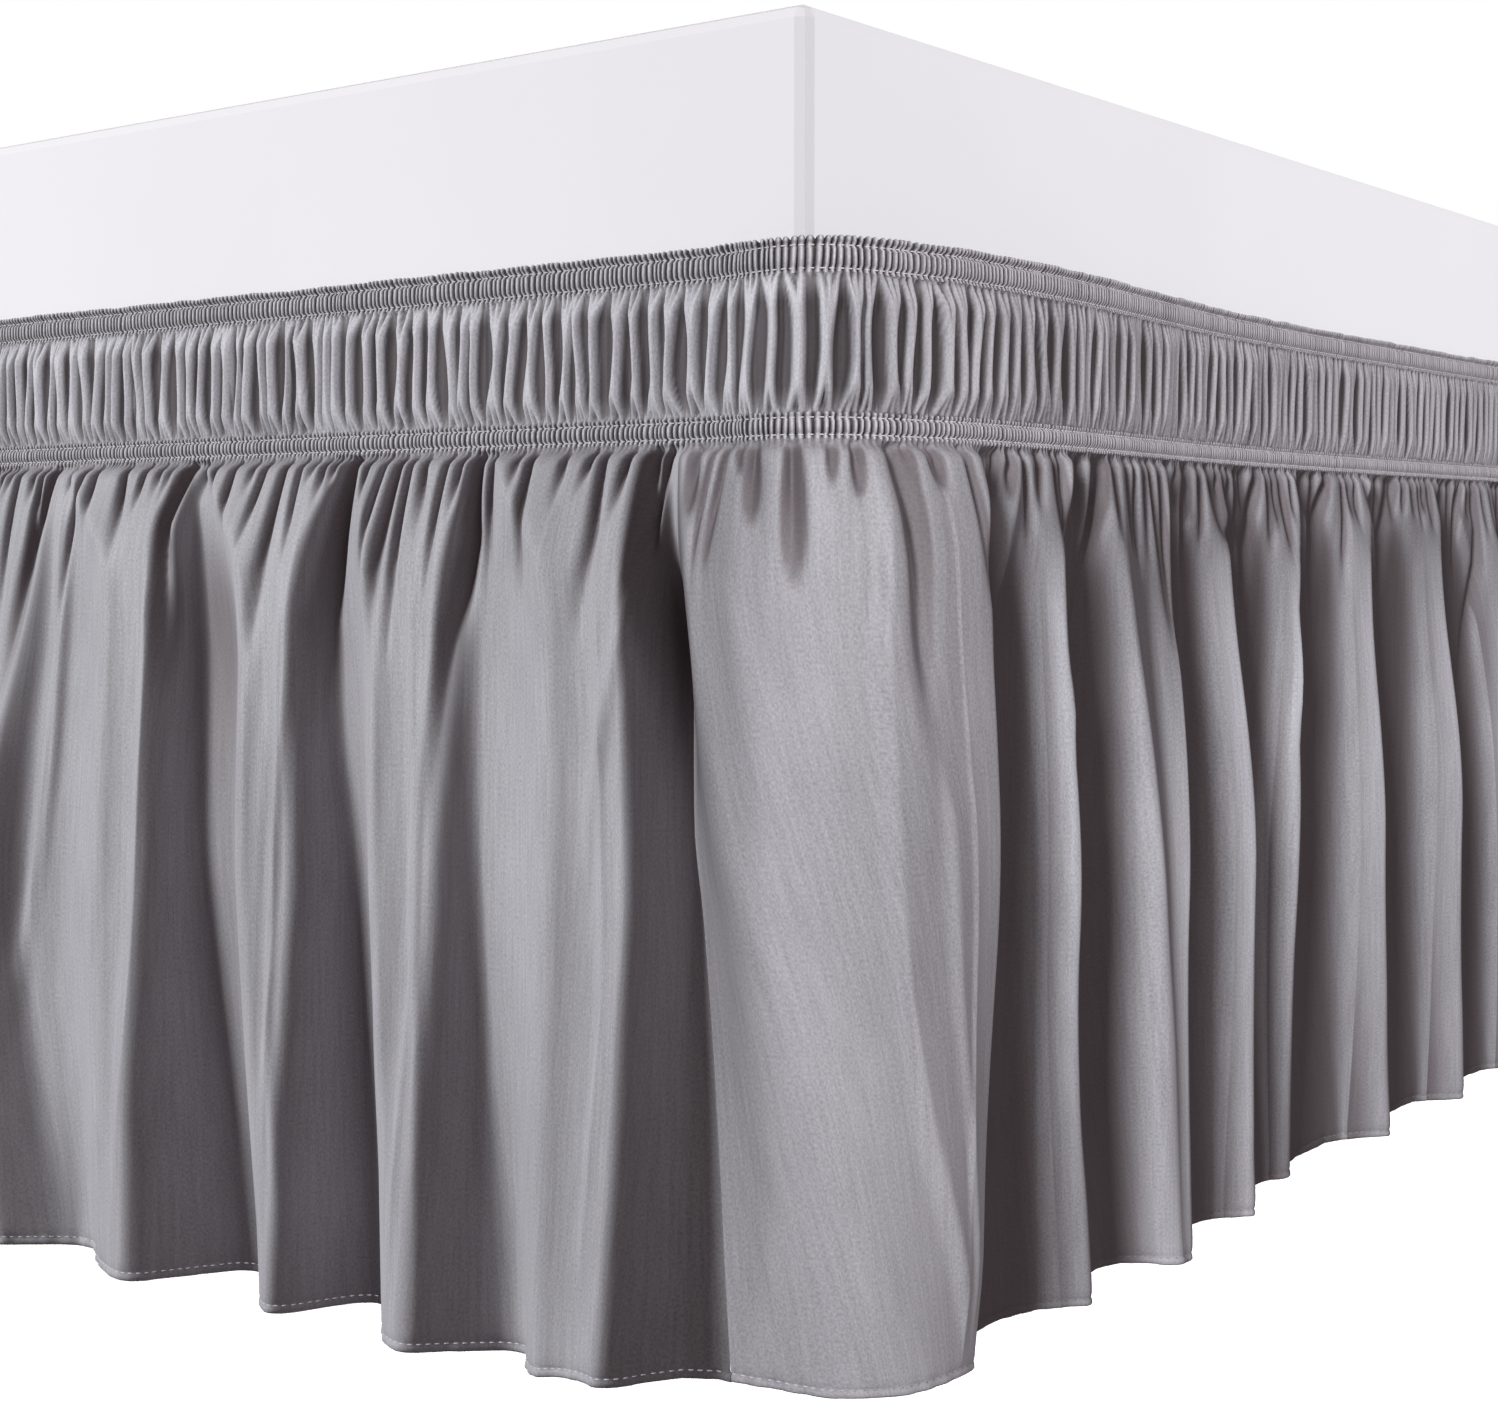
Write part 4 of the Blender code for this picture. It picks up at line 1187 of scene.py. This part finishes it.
# dark brown-grey painted shade colours: one for the grooves of the shirred bands and the heading, one for the ruffle's
# valleys and creases
SHIRRED_PAINTED_SHADE_COLOUR = (0.036, 0.026, 0.028)
CLOTH_LOW, CLOTH_HIGH, PAINTED_SHADE_COLOUR = (0.240, 0.232, 0.250), (0.545, 0.528, 0.562), (0.118, 0.088, 0.093)
ruffle_satin = satin("grey_satin", CLOTH_LOW, CLOTH_HIGH, PAINTED_SHADE_COLOUR, 0.56)
band_satin = satin("grey_satin_bands", CLOTH_LOW, CLOTH_HIGH, SHIRRED_PAINTED_SHADE_COLOUR, 0.60, 0.6)


def thread_material(name, low, high):
    made, tree, shader = node_material(name)
    place_node = tree.nodes.new("ShaderNodeTexCoord")
    texture = tree.nodes.new("ShaderNodeTexNoise")
    texture.inputs["Scale"].default_value = 900
    link(tree, place_node.outputs["Object"], texture.inputs["Vector"])
    link(tree, mixed(tree, texture.outputs[0], low, high), shader.inputs["Base Color"])
    shader.inputs["Roughness"].default_value = 0.5
    return made


def ticking_material():
    """Plain white ticking, very finely woven, slightly uneven in tone."""
    made, tree, shader = node_material("white_ticking_weave")
    where = tree.nodes.new("ShaderNodeTexCoord")
    patches = tree.nodes.new("ShaderNodeTexNoise")
    patches.inputs["Scale"].default_value = 5
    patches.inputs["Detail"].default_value = 4
    link(tree, where.outputs["Object"], patches.inputs["Vector"])
    link(tree, mixed(tree, patches.outputs[0], (0.80, 0.80, 0.835), (0.87, 0.87, 0.90)), shader.inputs["Base Color"])
    weave = tree.nodes.new("ShaderNodeTexNoise")
    weave.inputs["Scale"].default_value = 1400
    weave.inputs["Detail"].default_value = 2
    link(tree, where.outputs["Object"], weave.inputs["Vector"])
    bump = tree.nodes.new("ShaderNodeBump")
    bump.inputs["Strength"].default_value = 0.12
    bump.inputs["Distance"].default_value = 0.0003
    link(tree, weave.outputs[0], bump.inputs["Height"])
    link(tree, bump.outputs[0], shader.inputs["Normal"])
    shader.inputs["Roughness"].default_value = 0.85
    shader.inputs["Specular IOR Level"].default_value = 0.25
    return made


def lacquer_material():
    """Dark lacquered beech, with its grain running down the leg."""
    made, tree, shader = node_material("dark_lacquered_wood")
    where = tree.nodes.new("ShaderNodeTexCoord")
    mapping = tree.nodes.new("ShaderNodeMapping")
    mapping.inputs["Scale"].default_value = (90, 90, 6)
    link(tree, where.outputs["Object"], mapping.inputs[0])
    grain = tree.nodes.new("ShaderNodeTexNoise")
    grain.inputs["Scale"].default_value = 1.5
    grain.inputs["Detail"].default_value = 6
    link(tree, mapping.outputs[0], grain.inputs["Vector"])
    link(tree, mixed(tree, grain.outputs[0], (0.045, 0.035, 0.030), (0.13, 0.10, 0.085)), shader.inputs["Base Color"])
    bump = tree.nodes.new("ShaderNodeBump")
    bump.inputs["Strength"].default_value = 0.2
    bump.inputs["Distance"].default_value = 0.0004
    link(tree, grain.outputs[0], bump.inputs["Height"])
    link(tree, bump.outputs[0], shader.inputs["Normal"])
    shader.inputs["Roughness"].default_value = 0.38
    shader.inputs["Coat Weight"].default_value = 0.3
    shader.inputs["Coat Roughness"].default_value = 0.2
    return made


for made, tones in (
    (band_stitches, ((0.30, 0.29, 0.31), (0.50, 0.49, 0.51))),
    (hem_stitches, ((0.20, 0.19, 0.21), (0.34, 0.33, 0.35))),
):
    made.data.materials.append(thread_material(f"pale_thread_{made.name}", *tones))
    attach(made, "root")

ticking, lacquer = ticking_material(), lacquer_material()
for node, finish in (("box_spring", ticking), *((f"leg_{k}", lacquer) for k in range(1, 5))):
    target = bpy.data.objects[node]
    if not target.material_slots:
        target.data.materials.append(finish)
    for slot in target.material_slots:
        slot.material = finish

# ---- what each piece stands for ------------------------------------------------------------------
for made, node, points, side, finish, tall in pieces:
    made.data.materials.append(ruffle_satin if node.startswith("ruffle") else band_satin)
    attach(made, "root")
    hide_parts(node)

# ---- floor, light, camera --------------------------------------------------------------------------
bpy.ops.mesh.primitive_plane_add(size=7.6, location=(0, 0, 0))
floor = bpy.context.object
floor.name = "floor"
pale, pale_tree, pale_shader = node_material("pale_floor")
pale_shader.inputs["Base Color"].default_value = (0.94, 0.94, 0.94, 1)
pale_shader.inputs["Roughness"].default_value = 0.9
floor.data.materials.append(pale)
floor.visible_diffuse = False
floor.visible_glossy = False


def area_light(name, position, target, width, height, power, colour, only=None):
    data = bpy.data.lights.new(name, "AREA")
    data.shape = "RECTANGLE"
    data.size, data.size_y = width, height
    data.energy = power
    data.color = colour
    made = bpy.data.objects.new(name, data)
    bpy.context.scene.collection.objects.link(made)
    made.location = position
    direction = np.array(target) - np.array(position)
    yaw = math.atan2(direction[0], -direction[1])
    made.rotation_euler = (math.atan2(math.hypot(direction[0], direction[1]), -direction[2]), 0, yaw + math.pi)
    if only:
        lit = bpy.data.collections.new(f"lit_by_{name}")
        for each in only:
            lit.objects.link(each)
        made.light_linking.receiver_collection = lit
        if floor in only:
            made.light_linking.blocker_collection = lit
    return made


foot_pieces = [piece[0] for piece in pieces if piece[1].startswith("ruffle") and piece[3] == "foot"]
side_pieces = [piece[0] for piece in pieces if piece[1].startswith("ruffle") and piece[3] == "side"]
corner_pieces = [piece[0] for piece in pieces if piece[3] == "corner"]
strips = [piece[0] for piece in pieces if not piece[1].startswith("ruffle")]
bands = [piece[0] for piece in pieces if piece[4] == "band"]
base = bpy.data.objects["box_spring"]


def around(azimuth, distance, height, centre=(0.5, -0.9)):
    """A place round the photographed corner: azimuth 0 is straight in front of the foot, 90 beside the long side."""
    turn = math.radians(azimuth)
    return (centre[0] + distance * math.sin(turn), centre[1] - distance * math.cos(turn), height)


AIM = (0.45, -0.9, 0.22)
area_light("key_foot", around(-46, 5.5, 2.0), AIM, 1.2, 2.2, 366, (0.95, 0.985, 1.0), [*foot_pieces, hem_stitches])
area_light("key_corner", around(18, 5.5, 2.0), AIM, 0.9, 2.2, 268, (0.95, 0.985, 1.0), corner_pieces)
area_light("key_side", around(13, 5.5, 2.0), AIM, 1.2, 2.2, 435, (0.95, 0.985, 1.0), [*side_pieces, hem_stitches])
area_light("fill", around(65, 5.0, 1.6), AIM, 2.4, 2.2, 14, (1.0, 0.95, 0.95))
area_light("corner_fill", around(78, 5.0, 1.6), AIM, 2.4, 2.2, 84, (1.0, 0.98, 0.99), corner_pieces)
area_light("strips_left", around(-38, 5.5, 2.0), AIM, 1.0, 2.2, 254, (0.95, 0.985, 1.0), [*strips, band_stitches])
area_light("strips_front", around(13, 5.5, 2.0), AIM, 1.0, 2.2, 258, (0.95, 0.985, 1.0), [*strips, band_stitches])
area_light("side_fill", around(80, 5.0, 1.6), AIM, 2.4, 2.2, 22, (1.0, 0.93, 0.94), side_pieces)
area_light("strips_side", around(84, 5.0, 1.6), AIM, 1.4, 2.2, 142, (1.0, 0.98, 0.99), [*strips, band_stitches])
area_light("bands_side", around(84, 5.0, 1.6), AIM, 1.4, 2.2, 192, (1.0, 0.98, 0.99), [*bands, band_stitches])
area_light("base_foot", around(-28, 5.5, 2.0), AIM, 1.2, 2.2, 318, (1.0, 1.0, 1.0), [base])
area_light("over_floor", (0.0, 0.0, 4.0), (0.0, 0.0, 0.0), 7.0, 7.0, 900, (1.0, 1.0, 1.0), [floor])
area_light("beside_base", (5.2, 0.4, 1.4), (0.5, 0.0, 0.4), 2.5, 2.5, 222, (1.0, 1.0, 1.0), [base])
area_light("behind", (-3.2, 4.2, 2.2), (0.0, 0.3, 0.2), 2.5, 2.2, 220, (1.0, 1.0, 1.0))

world = bpy.data.worlds.new("white_studio")
world.use_nodes = True
bpy.context.scene.world = world
nodes, links = world.node_tree.nodes, world.node_tree.links
nodes.clear()
seen = nodes.new("ShaderNodeBackground")
seen.inputs[0].default_value = (1, 1, 1, 1)
seen.inputs[1].default_value = 1.0
soft = nodes.new("ShaderNodeBackground")
soft.inputs[0].default_value = (1.0, 0.85, 0.87, 1)
soft.inputs[1].default_value = 0.13
path = nodes.new("ShaderNodeLightPath")
choose = nodes.new("ShaderNodeMixShader")
output = nodes.new("ShaderNodeOutputWorld")
links.new(path.outputs["Is Camera Ray"], choose.inputs[0])
links.new(soft.outputs[0], choose.inputs[1])
links.new(seen.outputs[0], choose.inputs[2])
links.new(choose.outputs[0], output.inputs[0])

camera_data = bpy.data.cameras.new("camera")
camera_data.lens = 54.36
camera_data.sensor_width = 36
camera_data.sensor_fit = "HORIZONTAL"
camera = bpy.data.objects.new("camera", camera_data)
bpy.context.scene.collection.objects.link(camera)
camera.location = (0.9539, -1.5820, 0.3118)
camera.rotation_euler = (math.radians(90 - 4.05), 0, math.radians(37.51))
bpy.context.scene.camera = camera
bpy.context.scene.view_settings.view_transform = "Standard"
